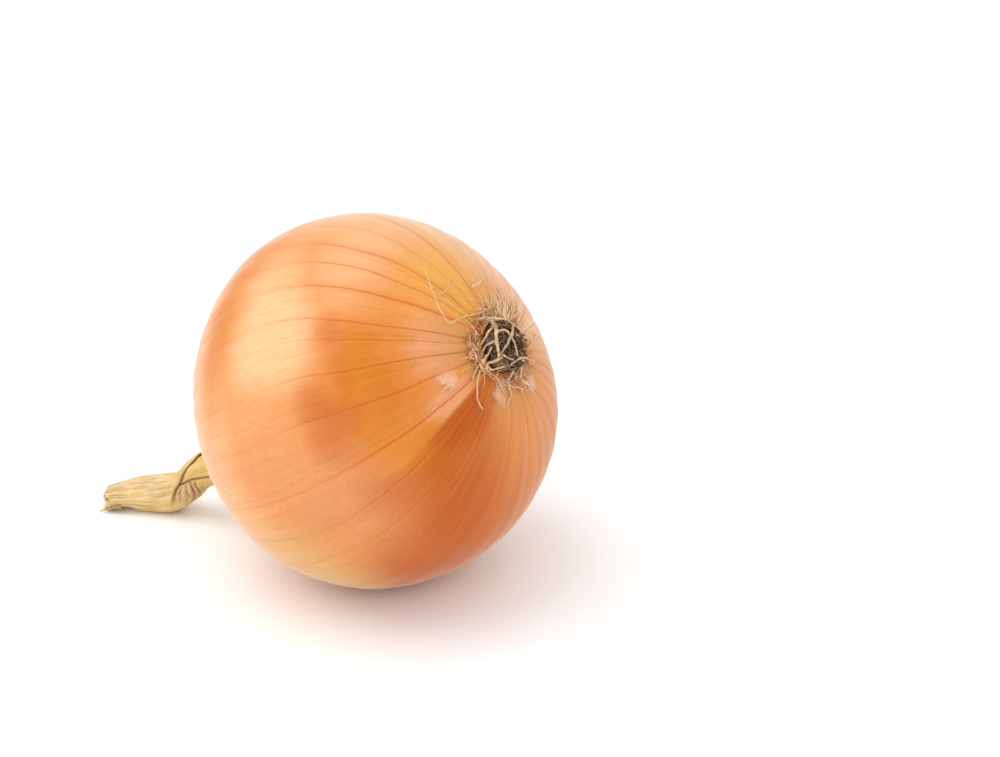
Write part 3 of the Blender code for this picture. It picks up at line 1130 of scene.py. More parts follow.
# Each row is a RootRoute.
TANGLE = (
    (((-30, 9.4, 0.9), (-14, 7.4, 1.6), (10, 6.2, 1.6), (38, 4.9, 1.0), (66, 4.3, 0.8)), 0.50),
    (((-20, 8.0, 0.7), (4, 6.1, 1.9), (22, 4.9, 1.4), (60, 3.6, 1.3), (84, 4.4, 0.9)), 0.52),
    (((-12, 6.6, 1.0), (20, 5.2, 1.0), (50, 4.0, 0.9), (88, 4.2, 0.4)), 0.42),
    (((2, 6.2, 1.5), (-28, 5.1, 1.3), (-54, 4.9, 1.2), (-78, 4.9, 1.1), (-98, 5.0, 0.6)), 0.84, 0.75),
    (((10, 6.0, 0.9), (-20, 5.4, 1.2), (-46, 5.6, 0.9), (-67, 7.2, 1.0), (-77, 9.8, 0.9)), 0.56),
    (((44, 4.4, 0.9), (-20, 2.0, 1.5), (-78, 3.4, 1.3), (-96, 4.9, 0.8)), 0.60, 0.8),
    (((-34, 4.7, 0.8), (-22, 3.6, 1.2), (-26, 2.2, 1.3), (-95, 1.0, 1.2), (-155, 2.7, 0.7)), 0.50),
    (((-58, 4.7, 0.7), (-66, 5.7, 1.3), (-78, 7.0, 1.0), (-86, 9.2, 0.5)), 0.46),
    (((96, 4.9, 0.2), (112, 5.7, 0.8), (150, 4.6, 0.8), (-172, 3.2, 0.9), (-132, 4.8, 0.7)), 0.55, 0.7),
    (((-104, 4.6, 0.6), (-100, 5.6, 0.7), (-97, 6.6, 0.5)), 0.60, 0.8),
    (((-96, 4.6, 0.8), (-116, 4.2, 0.9), (-140, 3.6, 0.5)), 0.48),
    (((30, 2.2, 0.3), (80, 2.6, 0.7), (120, 3.4, 0.6), (150, 3.0, 0.2)), 0.50),
    (((-14, 7.4, 1.1), (10, 6.3, 1.4), (34, 5.3, 1.3), (60, 4.9, 1.0), (80, 5.4, 0.6)), 0.34),
    (((0, 6.6, 0.8), (20, 5.8, 1.6), (46, 5.2, 1.6), (72, 5.8, 1.2), (84, 7.2, 0.8)), 0.38),
    (((16, 6.8, 1.2), (38, 5.8, 1.5), (62, 5.6, 1.4), (82, 6.4, 1.2), (92, 7.6, 1.0)), 0.32),
    (((-140, 2.0, 0.3), (-170, 3.4, 0.8), (160, 4.6, 0.6), (140, 5.2, 0.1)), 0.50),
)
SPRAY = (
    ((
        (44, 6.6, 0.6), (37, 8.8, 0.8), (16, 8.4, 0.9), (-8, 8.4, 0.8), (-32, 11.2, 0.8), (-46, 14.3, 1.3),
        (-40, 16.4, 1.9), (-30, 18.5, 2.2), (-14, 21.5, 1.6),
    ), 0.42, 0.35),
    (((46, 5.4, 0.2), (48, 8.0, 0.9), (49, 10.4, 0.9), (46, 12.8, 0.9), (43, 16.4, 0.9)), 0.74, 0.4),
    (((58, 5.6, 0.3), (56, 8.4, 1.0), (60, 10.9, 1.1), (52, 12.6, 0.8)), 0.62, 0.4),
    (((64, 6.0, 0.2), (60, 9.5, 0.7), (64, 13.5, 0.5), (60, 18.6, 0.7)), 0.45, 0.3),
    (((76, 6.2, 0.2), (75, 10.4, 0.6), (70, 13.2, 0.7), (66, 16.0, 0.6)), 0.50, 0.4),
    ((
        (60, 5.0, 0.6), (78, 7.4, 1.4), (90, 9.6, 1.9), (98, 11.4, 1.8), (103, 9.8, 1.2), (107, 7.8, 0.6),
    ), 0.56, 0.6),
    ((
        (-70, 5.2, 0.5), (-86, 6.0, 0.9), (-95, 8.8, 0.7), (-104, 11.6, 0.7), (-113, 13.9, 0.6),
        (-122, 14.9, 0.6),
    ), 0.42, 0.5),
    (((-84, 5.6, 0.3), (-90, 7.4, 0.7), (-92, 9.8, 0.8), (-98, 12.0, 0.6)), 0.50, 0.4),
    (((-98, 6.4, 0.3), (-108, 6.7, 0.7), (-116, 5.9, 0.9), (-124, 5.1, 0.6)), 0.55, 0.6),
    (((8, 13.4, 0.9), (18, 13.7, 1.2), (28, 15.0, 1.0), (36, 16.8, 0.9)), 0.50, 0.5),
    (((-24, 17.0, 0.5), (-15, 16.0, 0.7), (-6, 17.0, 0.6)), 0.26, 0.4),
    (((120, 5.6, 0.2), (124, 7.4, 0.8), (132, 8.8, 0.7), (128, 10.4, 0.4)), 0.55, 0.5),
    (((165, 5.0, 0.3), (172, 7.2, 0.8), (168, 9.6, 0.5)), 0.55, 0.4),
    (((-158, 5.2, 0.3), (-152, 7.0, 0.8), (-158, 9.4, 0.6), (-150, 11.8, 0.4)), 0.45, 0.4),
    (((24, 5.8, 0.4), (30, 7.6, 0.9), (22, 9.0, 0.7)), 0.50, 0.4),
    (((-40, 6.2, 0.4), (-46, 8.0, 0.8), (-56, 9.6, 0.5)), 0.45, 0.4),
)  # fmt: skip


@dataclass(frozen=True)
class RootEnd:
    """The corky stump with its dark stubs, the pale roots over and round it, and the torn skin's ends.

    Attributes:
        collar, gap: the radius of the stump's rim, and the gap under it.
        radius, height, waves: the stump's, with each wave as (how many, size, turn).
        stubs, threads, hairs, shreds: how many there are.
        tall_side, tuft_side: where the long hairs and the tuft stand, in degrees.
        shred_side: where the wider shreds are, in radians.
        thread_thick to shred_half: the ranges of their random sizes.
        hair_extra, shred_curl: the most that a hair grows longer, and that a tip curls up.
        shred_thick, flap_lift, flap_thick: thicknesses, and how far a flap lies off the bulb.
        wander: how far the roots stray from their routes.
        flaps: each as (azimuth and width in degrees, where it begins, its length).
    """

    axis: OnionAxis
    form: BulbForm
    collar: float = 0.0062
    gap: float = 0.0003
    radius: float = 0.0054
    height: float = 0.0034
    waves: Rows = ((3, 0.03, 1.0), (5, 0.04, 0.0))
    stubs: int = 230
    threads: int = 80
    hairs: int = 155
    shreds: int = 140
    tall_side: float = 52.0
    tuft_side: float = -84.0
    shred_side: float = -1.22
    thread_thick: Span = (0.00006, 0.00015)
    hair_start: Span = (0.0050, 0.0078)
    hair_long: Span = (0.0008, 0.0030)
    hair_extra: float = 0.0100
    hair_thick: Span = (0.00007, 0.00015)
    stub_long: Span = (0.0006, 0.0017)
    stub_thick: Span = (0.00010, 0.00024)
    shred_start: Span = (0.0057, 0.0076)
    shred_long: Span = (0.0006, 0.0024)
    shred_half: Span = (0.00016, 0.00065)
    shred_curl: float = 0.0018
    shred_thick: float = 0.00010
    flap_lift: float = 0.00040
    flap_thick: float = 0.00012
    wander: float = 0.00008
    flaps: Rows = (
        (-88, 14, 0.0146, 0.0046), (-60, 30, 0.0066, 0.0030), (-138, 26, 0.0070, 0.0054),
        (62, 34, 0.0070, 0.0068), (152, 30, 0.0070, 0.0050), (8, 26, 0.0068, 0.0034),
    )  # fmt: skip
    cork: FibreFinish = FibreFinish(
        "root_cork", (62, 38, 28), (136, 96, 70), (34, 20, 15), (190, 110, 60),
        roughness=0.9, spots=0.5, depth=0.0002,
    )  # fmt: skip
    dry: FibreFinish = FibreFinish(
        "dry_root", (190, 150, 104), (240, 212, 168), (98, 66, 42), (250, 206, 158), across=3.0, along=420.0
    )
    torn: FibreFinish = FibreFinish(
        "torn_skin", (230, 182, 134), (248, 212, 170), (132, 80, 48), (204, 126, 76), 7.0, 240.0, 0.6
    )
    paper: FibreFinish = FibreFinish(
        "paper_skin", (242, 196, 158), (252, 224, 202), (200, 140, 96), (246, 194, 148),
        3.0, 60.0, 0.5, 0.00002, solid=0.21,
    )  # fmt: skip

    def base(self) -> float:
        """The place of the stump's rim, just off the bulb."""
        return self.form.root_place(self.collar) - self.gap

    def over(self, azimuth: Array, radius: Array, lift: Array) -> Array:
        """Points over what lies under a root: the bulb, or the stump's dome base - h sqrt(1 - (r/R)^4).

        Args:
            azimuth, radius: where they are.
            lift: how far above it they are, along the axis and outwards.

        Returns:
            (..., 3) points of the onion's frame.
        """
        rim = self.radius * 1.04
        dome = self.base() - self.height * np.sqrt(np.clip(1.0 - (radius / rim) ** 4, 0.0, 1.0))
        bulb = self.form.root_place(radius)
        ground = np.where(radius < rim, np.minimum(dome, bulb), bulb)
        steep = np.clip((radius - 0.004) / 0.035, 0.0, 0.9)
        far = self.form.lobed(radius, azimuth) + lift * steep
        return round_axis(far, azimuth, ground - lift * np.sqrt(1.0 - steep**2))

    def root(
        self,
        path: Array,
        thick: Array,
        hollow: Array | float,
        blush: float = 0.0,
        sides: int = 5,
        up: int = 2,
    ) -> Surface:
        """A root along a path.

        Args:
            path: (n, 3) points of the onion's frame.
            thick: (n,) radii.
            hollow, blush: the finish's numbers; the first is partly painted shade.
            sides: how many sides it has.
            up: which of the onion's directions its sides are laid out from.

        Returns:
            Its surface.
        """
        reference = self.axis.directions()[up]
        return strand(self.axis.placed(path), thick, sides, reference, hollow=hollow, blush=blush)

    def stump(self) -> Surface:
        """The stump: a low lumpy dome, with painted shade where it sinks in. Height is h sqrt(1 - share^4)
        less noise.

        Returns:
            The surface, from its middle to its rim and in under it.
        """
        turn = np.linspace(0.0, 2 * np.pi, 96, endpoint=False)
        inwards = np.linspace(1.0, 0.04, 40)[1:]
        share = np.concatenate([[0.80, 0.93, 1.0], inwards])[:, None]
        rise = np.concatenate([[0.0, 0.0, 0.08], np.sqrt(1.0 - (inwards * 0.97) ** 4)])[:, None]
        waves = sum(size * np.sin(n * turn + start) for n, size, start in self.waves)
        far = self.radius * share * (1.0 + waves)
        spot = round_axis(far, turn, rise * 0.002) / 0.0016
        lump = noise_at(61, 3, *np.moveaxis(spot, -1, 0))
        far = far * (1.0 + 0.03 * lump * (rise > 0))
        place = self.base() - self.height * rise * (0.94 + 0.10 * lump)
        points = self.axis.placed(round_axis(far, turn, place))
        along, round_it = np.meshgrid(np.arange(len(points)) * 0.0004, np.arange(97) / 96, indexing="ij")
        # Painted shade: darker where the lumps sink in.
        hollow = ease(0.1, -0.7, lump)
        return Surface(points[:, ::-1], points_of(round_it, along), {"hollow": hollow[:, ::-1]})

    def routed(self, route: RootRoute, seed: int, dark: float) -> Surface:
        """A root along its route, with a small wander and a slight change of thickness.

        Args:
            route: its knots and thickness.
            seed: which wander it has.
            dark: how much painted shade it may take, 0 to 1.

        Returns:
            Its surface.
        """
        turns, radius, lift = np.array(route.knots, float).T
        count = len(turns)
        knots = self.over(np.unwrap(np.radians(turns)), radius / 1000, lift / 1000)
        t = np.linspace(0.0, 1.0, 14 * count)
        kinked = points_of(*(np.interp(t * (count - 1), np.arange(count), side) for side in knots.T))

        def noise(seed_of: int, octaves: int, scale: float = 1.0) -> Array:
            """Noise along the root, in cells of half a knot over scale."""
            return noise_at(seed_of, octaves, t * count * 2.0 * scale, seed * scale, 0)

        wander = self.wander * points_of(*(noise(71 + k, 3) for k in range(3)))
        path = 0.6 * smooth_path(knots, len(t)) + 0.4 * kinked + wander
        thick = route.thickness / 2000 * (1.0 - (1.0 - route.tip) * t) * (1.0 + 0.22 * noise(77, 3, 1.7))
        thick = thick * ease(-0.03, 0.02, t) * ease(1.02, 0.97, t)
        tone = 0.5 + 0.5 * math.sin(seed * 2.4)
        # Painted shade that varies from root to root, full in the crowded tangle and weak in the spray.
        shade = dark * np.clip(0.28 * tone + 0.12 + 0.35 * noise(79, 2, 0.8), 0.0, 0.7)
        return self.root(path, thick, shade, sides=9)

    def thread(self, draw: np.random.Generator) -> Surface:
        """One thin dead root that lies over the stump's face.

        Args:
            draw: gives its random sizes.

        Returns:
            A strand whose azimuth and radius both run evenly between two random ends.
        """
        t = np.linspace(0.0, 1.0, 14)
        azimuth = draw.uniform(-np.pi, np.pi) + draw.uniform(-1.6, 1.6) * t
        radius = self.radius * np.interp(t, (0, 1), draw.uniform(0.15, 1.06, 2))
        wave = noise_at(93, 2, t * 4, draw.uniform(0, 99), 0)
        lift = 0.00015 + draw.uniform(0.0, 0.0007) * np.sin(np.pi * t) + 0.00015 * wave
        path = self.over(azimuth + 0.12 * wave, radius, lift)
        thick = draw.uniform(*self.thread_thick) * (1.0 - 0.4 * t)
        return self.root(path, thick, draw.uniform(0.45, 1.0), up=1)

    def hair(self, draw: np.random.Generator) -> Surface:
        """One fine fibre that leaves the collar along a meridian.

        Those on the tall side are longest, and a tuft of shorter ones stands on the other.

        Args:
            draw: gives its random sizes.

        Returns:
            A thin strand that wavers just off the bulb.
        """
        kind = draw.random()
        if kind < 0.44:
            azimuth = draw.uniform(-180.0, 180.0)
        else:
            azimuth = draw.normal(*((self.tall_side, 22.0) if kind < 0.86 else (self.tuft_side, 12.0)))
        tuft = bell(azimuth, self.tuft_side, 16.0)
        tall = bell(azimuth, self.tall_side, 34.0) + 0.3 * tuft
        t = np.linspace(0.0, 1.0, 12)
        long = draw.uniform(*self.hair_long) + tall * draw.uniform(0.0, self.hair_extra)
        turn = math.radians(azimuth) + draw.normal(0.0, 0.18 - 0.12 * tall) * t
        turn = turn + draw.normal(0.0, 0.10) * t**2
        wave = noise_at(91, 2, t * 3, draw.uniform(0, 99), 0)
        arch = draw.uniform(0.0, 0.0010) * np.sin(np.pi * t * draw.uniform(0.5, 1.0))
        start = draw.uniform(*self.hair_start) + draw.uniform(0.0, 0.0030) * tuft
        path = self.over(turn + 0.02 * wave, start + long * t, 0.0003 + arch + 0.00022 * wave)
        thick = draw.uniform(*self.hair_thick) * (1.0 - 0.6 * t) * (1.0 - 0.35 * tuft)
        return self.root(path, thick, draw.uniform(0.0, 0.12), draw.uniform(0.2, 0.9))

    def stub(self, draw: np.random.Generator) -> Surface:
        """One short dark broken root.

        Args:
            draw: gives its random sizes.

        Returns:
            A strand that leaves the dome steeply and bends over.
        """
        azimuth = draw.uniform(-np.pi, np.pi)
        share = math.sqrt(draw.uniform(0.01, 1.0))
        long = draw.uniform(*self.stub_long) * (1.0 - 0.6 * share**3)
        t = np.linspace(0.0, 1.0, 6)[:, None]
        inwards = 0.0006 * share * np.array([math.cos(azimuth), math.sin(azimuth)])
        lean = draw.normal(0.0, 1.0, 2) * 0.0009 - inwards
        bent = lean * t + draw.normal(0.0, 1.0, 2) * 0.0005 * t**2
        rise = -long * np.sin(t * draw.uniform(1.2, 2.4))
        start = self.over(azimuth, self.radius * share, -0.0004)
        thick = draw.uniform(*self.stub_thick) * (1.0 - 0.55 * t[:, 0])
        return self.root(start + np.concatenate([bent, rise], 1), thick, 0.8 * draw.uniform(0.0, 1.0), up=1)

    def shred(self, draw: np.random.Generator) -> Surface:
        """One torn end of skin at the collar.

        Args:
            draw: gives its random sizes.

        Returns:
            A small leaf whose tip curls off the bulb, with a ragged edge.
        """
        middle = draw.uniform(-np.pi, np.pi) if draw.random() < 0.8 else draw.normal(self.shred_side, 0.26)
        near = bell(middle, self.shred_side, 0.4)
        start = draw.uniform(*self.shred_start) + draw.uniform(0.0, 0.0020) * near
        long = draw.uniform(*self.shred_long) * (1.2 if draw.random() < 0.12 else 1.0)
        half = draw.uniform(*self.shred_half) * (1.0 + 1.3 * near)
        t, across = leaf_places(8, 5)
        taper = (1.0 - 0.75 * t**1.5) * (1.0 + 0.3 * draw.normal(0, 1, (8, 1)))
        azimuth = middle + half * across * taper / start + draw.normal(0, 0.22) * t
        curl = draw.uniform(0.0, self.shred_curl)
        lift = 0.00035 + curl * t**2 + 0.0003 * across**2 * draw.normal(0, 1)
        points = self.form.over_root(azimuth, start + long * t, lift)
        edge = np.clip(1.25 - across**2, 0.2, 1.0) * np.clip(1.3 - t, 0.2, 1.0)
        rust = draw.uniform(0.0, 1.0)
        marks = {"blush": 0.9 * (rust > 0.5), "hollow": 0.5 * (rust < 0.12)}
        return leaf(self.axis.placed(points), self.shred_thick * edge, **marks)

    def flap(self, middle: float, spread: float, inner: float, length: float, seed: int) -> Surface:
        """A torn flap of dry skin lying just off the bulb.

        Args:
            middle, spread: its azimuth and how wide it is, in degrees.
            inner, length: where it begins and how long it is.
            seed: the noise of its outline.

        Returns:
            A leaf whose half width follows sqrt(sin) of the way along, less noise.
        """
        t, across = leaf_places(36, 30)
        edge = 1.0 + 0.28 * noise_at(83, 2, t * 6, np.sign(across), seed)
        half = math.radians(spread) / 2 * (0.25 + 0.75 * np.sqrt(np.sin(np.pi * (0.12 + 0.80 * t)))) * edge
        reach = 1.0 + 0.24 * noise_at(89, 3, across * 6, 0, seed)
        raised = 0.0004 * np.maximum(0, np.abs(across) - 0.8) * t + 0.00025 * t**4
        lift = self.flap_lift + 0.00008 * noise_at(97, 2, t * 4, across * 3, seed) + raised
        thin = self.flap_thick * np.clip(1.1 - across**4, 0.15, 1.0) * np.clip(1.2 - t**3, 0.2, 1.0)
        points = self.form.over_root(math.radians(middle) + half * across, inner + length * t * reach, lift)
        solid = ease(1.0, 0.55, np.abs(across)) * ease(1.0, 0.75, t) * ease(0.0, 0.1, t)
        blush = 0.25 + 0.2 * noise_at(99, 2, t * 4, across * 3, seed)
        return leaf(self.axis.placed(points), thin, blush=blush, hollow=0.0, solid=solid)

    def build(self) -> None:
        """Makes the stump, its stubs, its roots, the shreds and the flaps, and dresses them."""
        draw = np.random.default_rng(7)
        stubs, threads, hairs = (
            [make(draw) for _ in range(count)]
            for make, count in ((self.stub, self.stubs), (self.thread, self.threads), (self.hair, self.hairs))
        )
        shreds = [self.shred(draw) for _ in range(self.shreds)]
        tangle = [self.routed(RootRoute(*row), k, 1.0) for k, row in enumerate(TANGLE, 1)]
        spray = [self.routed(RootRoute(*row), k, 0.2) for k, row in enumerate(SPRAY, 31)]
        make_piece("root_stump", [self.stump()], self.cork, ["root_plate"])
        make_piece("root_stubs", stubs, self.cork)
        make_piece("root_threads", threads, self.dry)
        make_piece("collar_hairs", hairs, self.dry)
        make_piece("root_tangle", tangle, self.dry, nodes_named("nest_root"))
        make_piece("root_spray", spray, self.dry, nodes_named("spray_root"))
        make_piece("collar_shreds", shreds, self.torn)
        for k, (node, sizes) in enumerate(zip(nodes_named("collar_flake"), self.flaps)):
            make_piece(f"collar_flap_{k + 1}", [self.flap(*sizes, k)], self.paper, [node])


# ---- The dried neck ----


@dataclass(frozen=True)
class Neck:
    """The bundle of withered leaf bases, its rolled strap and the leaf ends at the cut.

    The bundle's surface has two parameters: the share from the bulb to the cut, and the turn round it,
    which is 0 on the far side, 90 degrees on top and 180 on the near side.

    Attributes:
        stations: how many places along it the middle line is worked out at.
        length, girth: its length, and the mean radius round it.
        inside: how far it goes into the throat.
        bend: its knots as (x, y, z, half width, half thickness).
        strap_line, seam_line: the lines of the strap and of the seam under it, as (share, turn).
        tips: the leaf ends as (turn, shares that they run between, half width, drop, sag).
        rib_height to crumple_height: how far the relief's parts stand out or go in.
        pleat_share: from one pleat to the next, as a share of the length.
        strap_half, strap_thick, tip_thick: half width and thicknesses of the leaves.
    """

    axis: OnionAxis
    form: BulbForm
    rows: int = 330
    columns: int = 260
    stations: int = 241
    length: float = 0.036
    girth: float = 0.0042
    inside: float = 0.0060
    floor_gap: float = 0.00002
    tip_floor_gap: float = 0.00025
    rib_height: float = 0.00030
    fine_height: float = 0.00013
    roll_height: float = 0.00038
    groove_depth: float = 0.00034
    crease_depth: float = 0.00045
    pleat_height: float = 0.00024
    crumple_height: float = 0.00020
    pleat_share: float = 0.050
    strap_half: float = 0.00040
    strap_thick: float = 0.00024
    tip_thick: float = 0.00022
    bend: Rows = (
        (-0.0472, 0.0002, 0.0106, 0.0036, 0.0035), (-0.0509, -0.0005, 0.0066, 0.0038, 0.0035),
        (-0.0551, -0.0010, 0.0042, 0.0046, 0.0040), (-0.0595, -0.0014, 0.0032, 0.0052, 0.0034),
        (-0.0637, -0.0033, 0.0027, 0.0048, 0.0028), (-0.0668, -0.0050, 0.0022, 0.0043, 0.0022),
        (-0.0692, -0.0064, 0.0016, 0.0039, 0.0017),
    )  # fmt: skip
    strap_line: Rows = (
        (0.085, 20), (0.105, 60), (0.118, 88), (0.134, 116), (0.170, 131), (0.216, 136),
        (0.268, 146), (0.312, 163), (0.345, 182), (0.352, 192),
    )  # fmt: skip
    seam_line: Rows = ((0.262, 150), (0.225, 160), (0.185, 174), (0.131, 190), (0.075, 197))
    tips: Rows = (
        (70, 0.90, 0.985, 0.0016, 0.0004, 0.0), (110, 0.90, 0.985, 0.0016, 0.0003, 0.0),
        (135, 0.90, 0.975, 0.0010, 0.0007, 0.0), (188, 0.80, 1.004, 0.0021, -0.0001, 0.0007),
        (225, 0.84, 1.000, 0.0014, 0.0006, 0.0), (100, 0.90, 0.965, 0.0018, 0.0012, 0.0),
        (40, 0.90, 0.980, 0.0012, 0.0006, 0.0), (350, 0.90, 0.975, 0.0012, 0.0006, 0.0),
    )  # fmt: skip
    straw: FibreFinish = FibreFinish(
        "dry_leaf", (188, 156, 98), (228, 204, 154), (122, 82, 48), (210, 174, 98), 46.0, 110.0, 0.6, 0.00018
    )

    def framed(self) -> tuple[Array, Array, Array, Array, Array]:
        """The bundle's stations, from the bulb's throat to the cut.

        Returns:
            Middles, directions along, across (along x up) and over, and half width and thickness.
        """
        first = self.axis.placed(np.array([0.0, 0.0, self.form.throat_place + 0.0003]))
        start = [*first, self.form.throat_radius, self.form.throat_radius]
        path = smooth_path(np.vstack([start, self.bend]), self.stations)
        middle, size = path[:, :3], path[:, 3:]
        along = np.gradient(middle, axis=0)
        along[0] = self.axis.directions()[2]
        along = unit(along)
        across = unit(np.cross(along, np.array([0.0, 0.0, 1.0])))
        return middle, along, across, np.cross(across, along), size

    def over(self, share: Array, turn: Array, lift: Array) -> Array:
        """Points over the bundle's plain outline.

        Args:
            share, turn: places on it, the turn in degrees.
            lift: how far off it.

        Returns:
            (..., 3) points.
        """
        middle, _, across, over, size = self.framed()
        grid = np.linspace(0.0, 1.0, self.stations)

        def read(values: Array) -> Array:
            """Values of the stations at the wanted shares."""
            return points_of(*(np.interp(share, grid, column) for column in values.T))

        wide, thick = (half + lift for half in np.moveaxis(read(size), -1, 0))
        angle = np.radians(turn)
        sideways = read(across) * (wide * np.cos(angle))[..., None]
        return read(middle) + sideways + read(over) * (thick * np.sin(angle))[..., None]

    def flat(self, share: Array, turn: Array) -> Array:
        """The surface unrolled: metres along and metres round, for measuring ways on it."""
        return points_of(share * self.length, np.radians(turn) * self.girth)

    def beside(self, line: Rows, share: Array, turn: Array) -> Array:
        """How far points lie from a line on the surface, positive on its left."""
        return side_of_line(self.flat(share, turn), self.flat(*np.array(line, float).T))

    def relief(self, share: Array, turn: Array) -> dict[str, Array]:
        """How far each point is pushed out, and the numbers that the finish reads.

        Long ribs are 1 - 2|noise| stretched along the bundle. The sheath's rolled edge is a step at the
        strap's line: high on the cut's side, low on the bulb's. Under the seam, pleats are a wave of
        share and turn.

        Args:
            share, turn: (rows, columns) grids, the turn in degrees.

        Returns:
            "push" in metres, "hollow", which is painted shade, and "blush" from 0 to 1.
        """
        angle = np.radians(turn)
        skewed = angle + 0.9 * share
        bundle = ease(0.30, 0.42, share)
        broad = 1 - 2 * np.abs(ring_noise(101, 2, skewed, 3.2, share * 2.2))
        fine = 1 - 2 * np.abs(ring_noise(103, 2, skewed, 9, share * 3.5))
        crumple = ring_noise(109, 3, angle, 2.2, share * 9)

        off = self.beside(self.strap_line, share, turn)
        on_top = ease(10, 70, turn) * ease(215, 190, turn)
        beyond = ease(-0.0001, 0.0001, -off)
        roll = np.exp(-np.abs(off) / 0.0012) * beyond * self.roll_height
        roll = roll - bell(off, 0.0004, 0.00040) * self.groove_depth
        # A thin painted shadow along the strap's edge.
        strap_shadow_line = 0.7 * bell(off, 0.00025, 0.00020) * on_top

        seam = self.beside(self.seam_line, share, turn)
        crease = bell(seam, 0.0, 0.00028) * (off > 0.0002)
        below = ease(0.0, 0.0006, -seam) * ease(0.10, 0.18, share) * ease(0.36, 0.27, share)
        below = below * ease(150, 165, turn) * ease(272, 236, turn)
        waver = 0.0017 * (turn - 160) - 0.016 * ring_noise(107, 2, angle, 1, share * 9)
        pleat = np.sin(2 * np.pi * (share - waver) / self.pleat_share)
        pleat = pleat * (0.55 + 0.6 * ring_noise(111, 2, angle, 3, share * 14))
        pleats = self.pleat_height * pleat * below * ease(262, 230, turn)

        ribs = self.rib_height * broad * (0.40 + 0.60 * bundle)
        ribs = ribs + self.fine_height * fine * (0.60 + 0.40 * bundle)
        push = ribs + roll * on_top - self.crease_depth * crease + pleats
        push = push + self.crumple_height * crumple * (1 - 0.6 * bundle)
        # Painted shade: darker in the ribs' valleys, in the pleats' troughs and over the pleated patch, in
        # the crease and along the strap's shadow line.
        hollow = 0.55 * ease(0.2, -0.8, broad) * (0.35 + 0.65 * bundle)
        hollow = hollow + 0.35 * ease(0.1, -0.8, fine) * (0.4 + 0.6 * bundle)
        hollow = hollow + 0.80 * ease(0.3, -1.0, pleat) * below + 0.12 * below
        hollow = np.maximum.reduce([hollow, 0.9 * crease, strap_shadow_line])
        yellow = 0.85 * ease(0.36, 0.22, share) * (1 - below)
        gold = 0.6 * ease(0.0, 0.7, ring_noise(115, 2, skewed, 2, share * 5))
        return {"push": push, "hollow": np.clip(hollow, 0, 1), "blush": np.clip(yellow + gold, 0, 1)}

    def surface(self) -> Surface:
        """The bundle as one closed surface, whose first row goes inside the bulb's throat.

        Its end is worn away by noise over the turn, with a notch on top and a longer part below.

        Returns:
            The surface, with its painted shade and its blush.
        """
        turn = np.linspace(360.0, 0.0, self.columns, endpoint=False)[None]
        worn = 0.022 * ring_noise(113, 3, np.radians(turn), 3.4, 0)
        longer = 0.03 * ease(165, 200, turn) * ease(260, 215, turn)
        end = 0.965 + worn - 0.035 * bell(turn, 150, 16) + longer
        share, turn = np.broadcast_arrays(np.linspace(0.0, 1.0, self.rows)[:, None] * end, turn)
        marks = self.relief(share, turn)
        lift = marks.pop("push") * ease(0.0, 0.05, share)
        points = self.over(share, turn, lift - 0.0009 * (1 - ease(1.0, 0.992, share / end)))
        raised = ease(0.62, 0.74, share) * ease(0.97, 0.90, share)
        points[..., 2] += 0.0007 * raised * ease(175, 215, turn) * ease(300, 270, turn)
        points[..., 2] = np.maximum(points[..., 2], self.floor_gap)
        deep = points[0] - self.axis.directions()[2] * self.inside
        u = np.append(np.linspace(1.0, 0.0, self.columns, endpoint=False), 0.0)
        uv = np.stack(np.meshgrid(u, np.linspace(0.0, self.length, self.rows + 1)), -1)
        numbers = {key: np.concatenate([grid[:1], grid]) for key, grid in marks.items()}
        return Surface(np.concatenate([deep[None], points]), uv, numbers)

    def strap(self) -> Surface:
        """The sheath's rolled edge.

        Returns:
            A thick leaf along its line, which curls up at its lower end.
        """
        line = smooth_path(self.strap_line, 70)
        t, across = leaf_places(len(line), 13)
        half = self.strap_half * (0.7 + 0.5 * np.sin(np.pi * t)) * ease(1.04, 0.86, t)
        half = half * (1 + 0.15 * noise_at(121, 2, t * 9, 0, 0))
        tangent = unit(np.gradient(self.flat(*line.T), axis=0))
        share = line[:, :1] - half * across * tangent[:, 1:] / self.length
        turn = line[:, 1:] + np.degrees(half * across * tangent[:, :1] / self.girth)
        crown = 0.00014 * (1 - across**2) - 0.00022 * ease(0.0, -1.0, across)
        points = self.over(share, turn, 0.00026 + crown + 0.0006 * ease(0.93, 1.0, t))
        thin = self.strap_thick * np.sqrt(np.clip(1.04 - across**2, 0.05, 1)) + 0 * t
        streak = noise_at(127, 2, t * 3, across * 3, 0)
        return leaf(points[:, ::-1], thin, hollow=np.clip(0.2 * streak, 0, 1), blush=0.35)

    def tip(
        self, turn: float, start: float, end: float, half: float, drop: float, sag: float, seed: int
    ) -> Surface:
        """One leaf end that stands out of the cut.

        Args:
            turn: where it leaves the bundle, in degrees.
            start, end: the shares that it runs between. The bundle ends at 1.
            half: its half width.
            drop: how much deeper than the bundle's outline it lies.
            sag: how far its end hangs down.
            seed: the noise of its edges.

        Returns:
            A leaf with a torn end: each column ends at its own share.
        """
        t, across = leaf_places(26, 15)
        share = start + (end - start) * t * (1.0 + 0.10 * noise_at(131, 3, across * 3.5, seed, 0))
        last = 0.999
        spread = np.degrees(half * across / self.girth) * (1.0 - (0.25 + 0.5 * (sag > 0)) * t**2)
        wave = 0.00022 * noise_at(137, 2, across * 2, t * 2, seed)
        points = self.over(np.minimum(share, last), turn + spread, wave - drop)
        beyond = np.maximum(share - last, 0.0) * self.length
        points = points + self.framed()[1][-1] * beyond[..., None]
        points[..., 2] = np.maximum(points[..., 2] - sag * t**2, self.tip_floor_gap)
        thin = np.clip(1.2 - t**2, 0.3, 1.0) * np.sqrt(np.clip(1.05 - across**2, 0.1, 1.0))
        thin = self.tip_thick * (1 + (sag > 0)) * thin
        streak = noise_at(139, 2, across * 5, t, seed)
        return leaf(points[:, ::-1], thin, hollow=np.clip(0.3 + 0.5 * streak, 0, 1), blush=0.0)

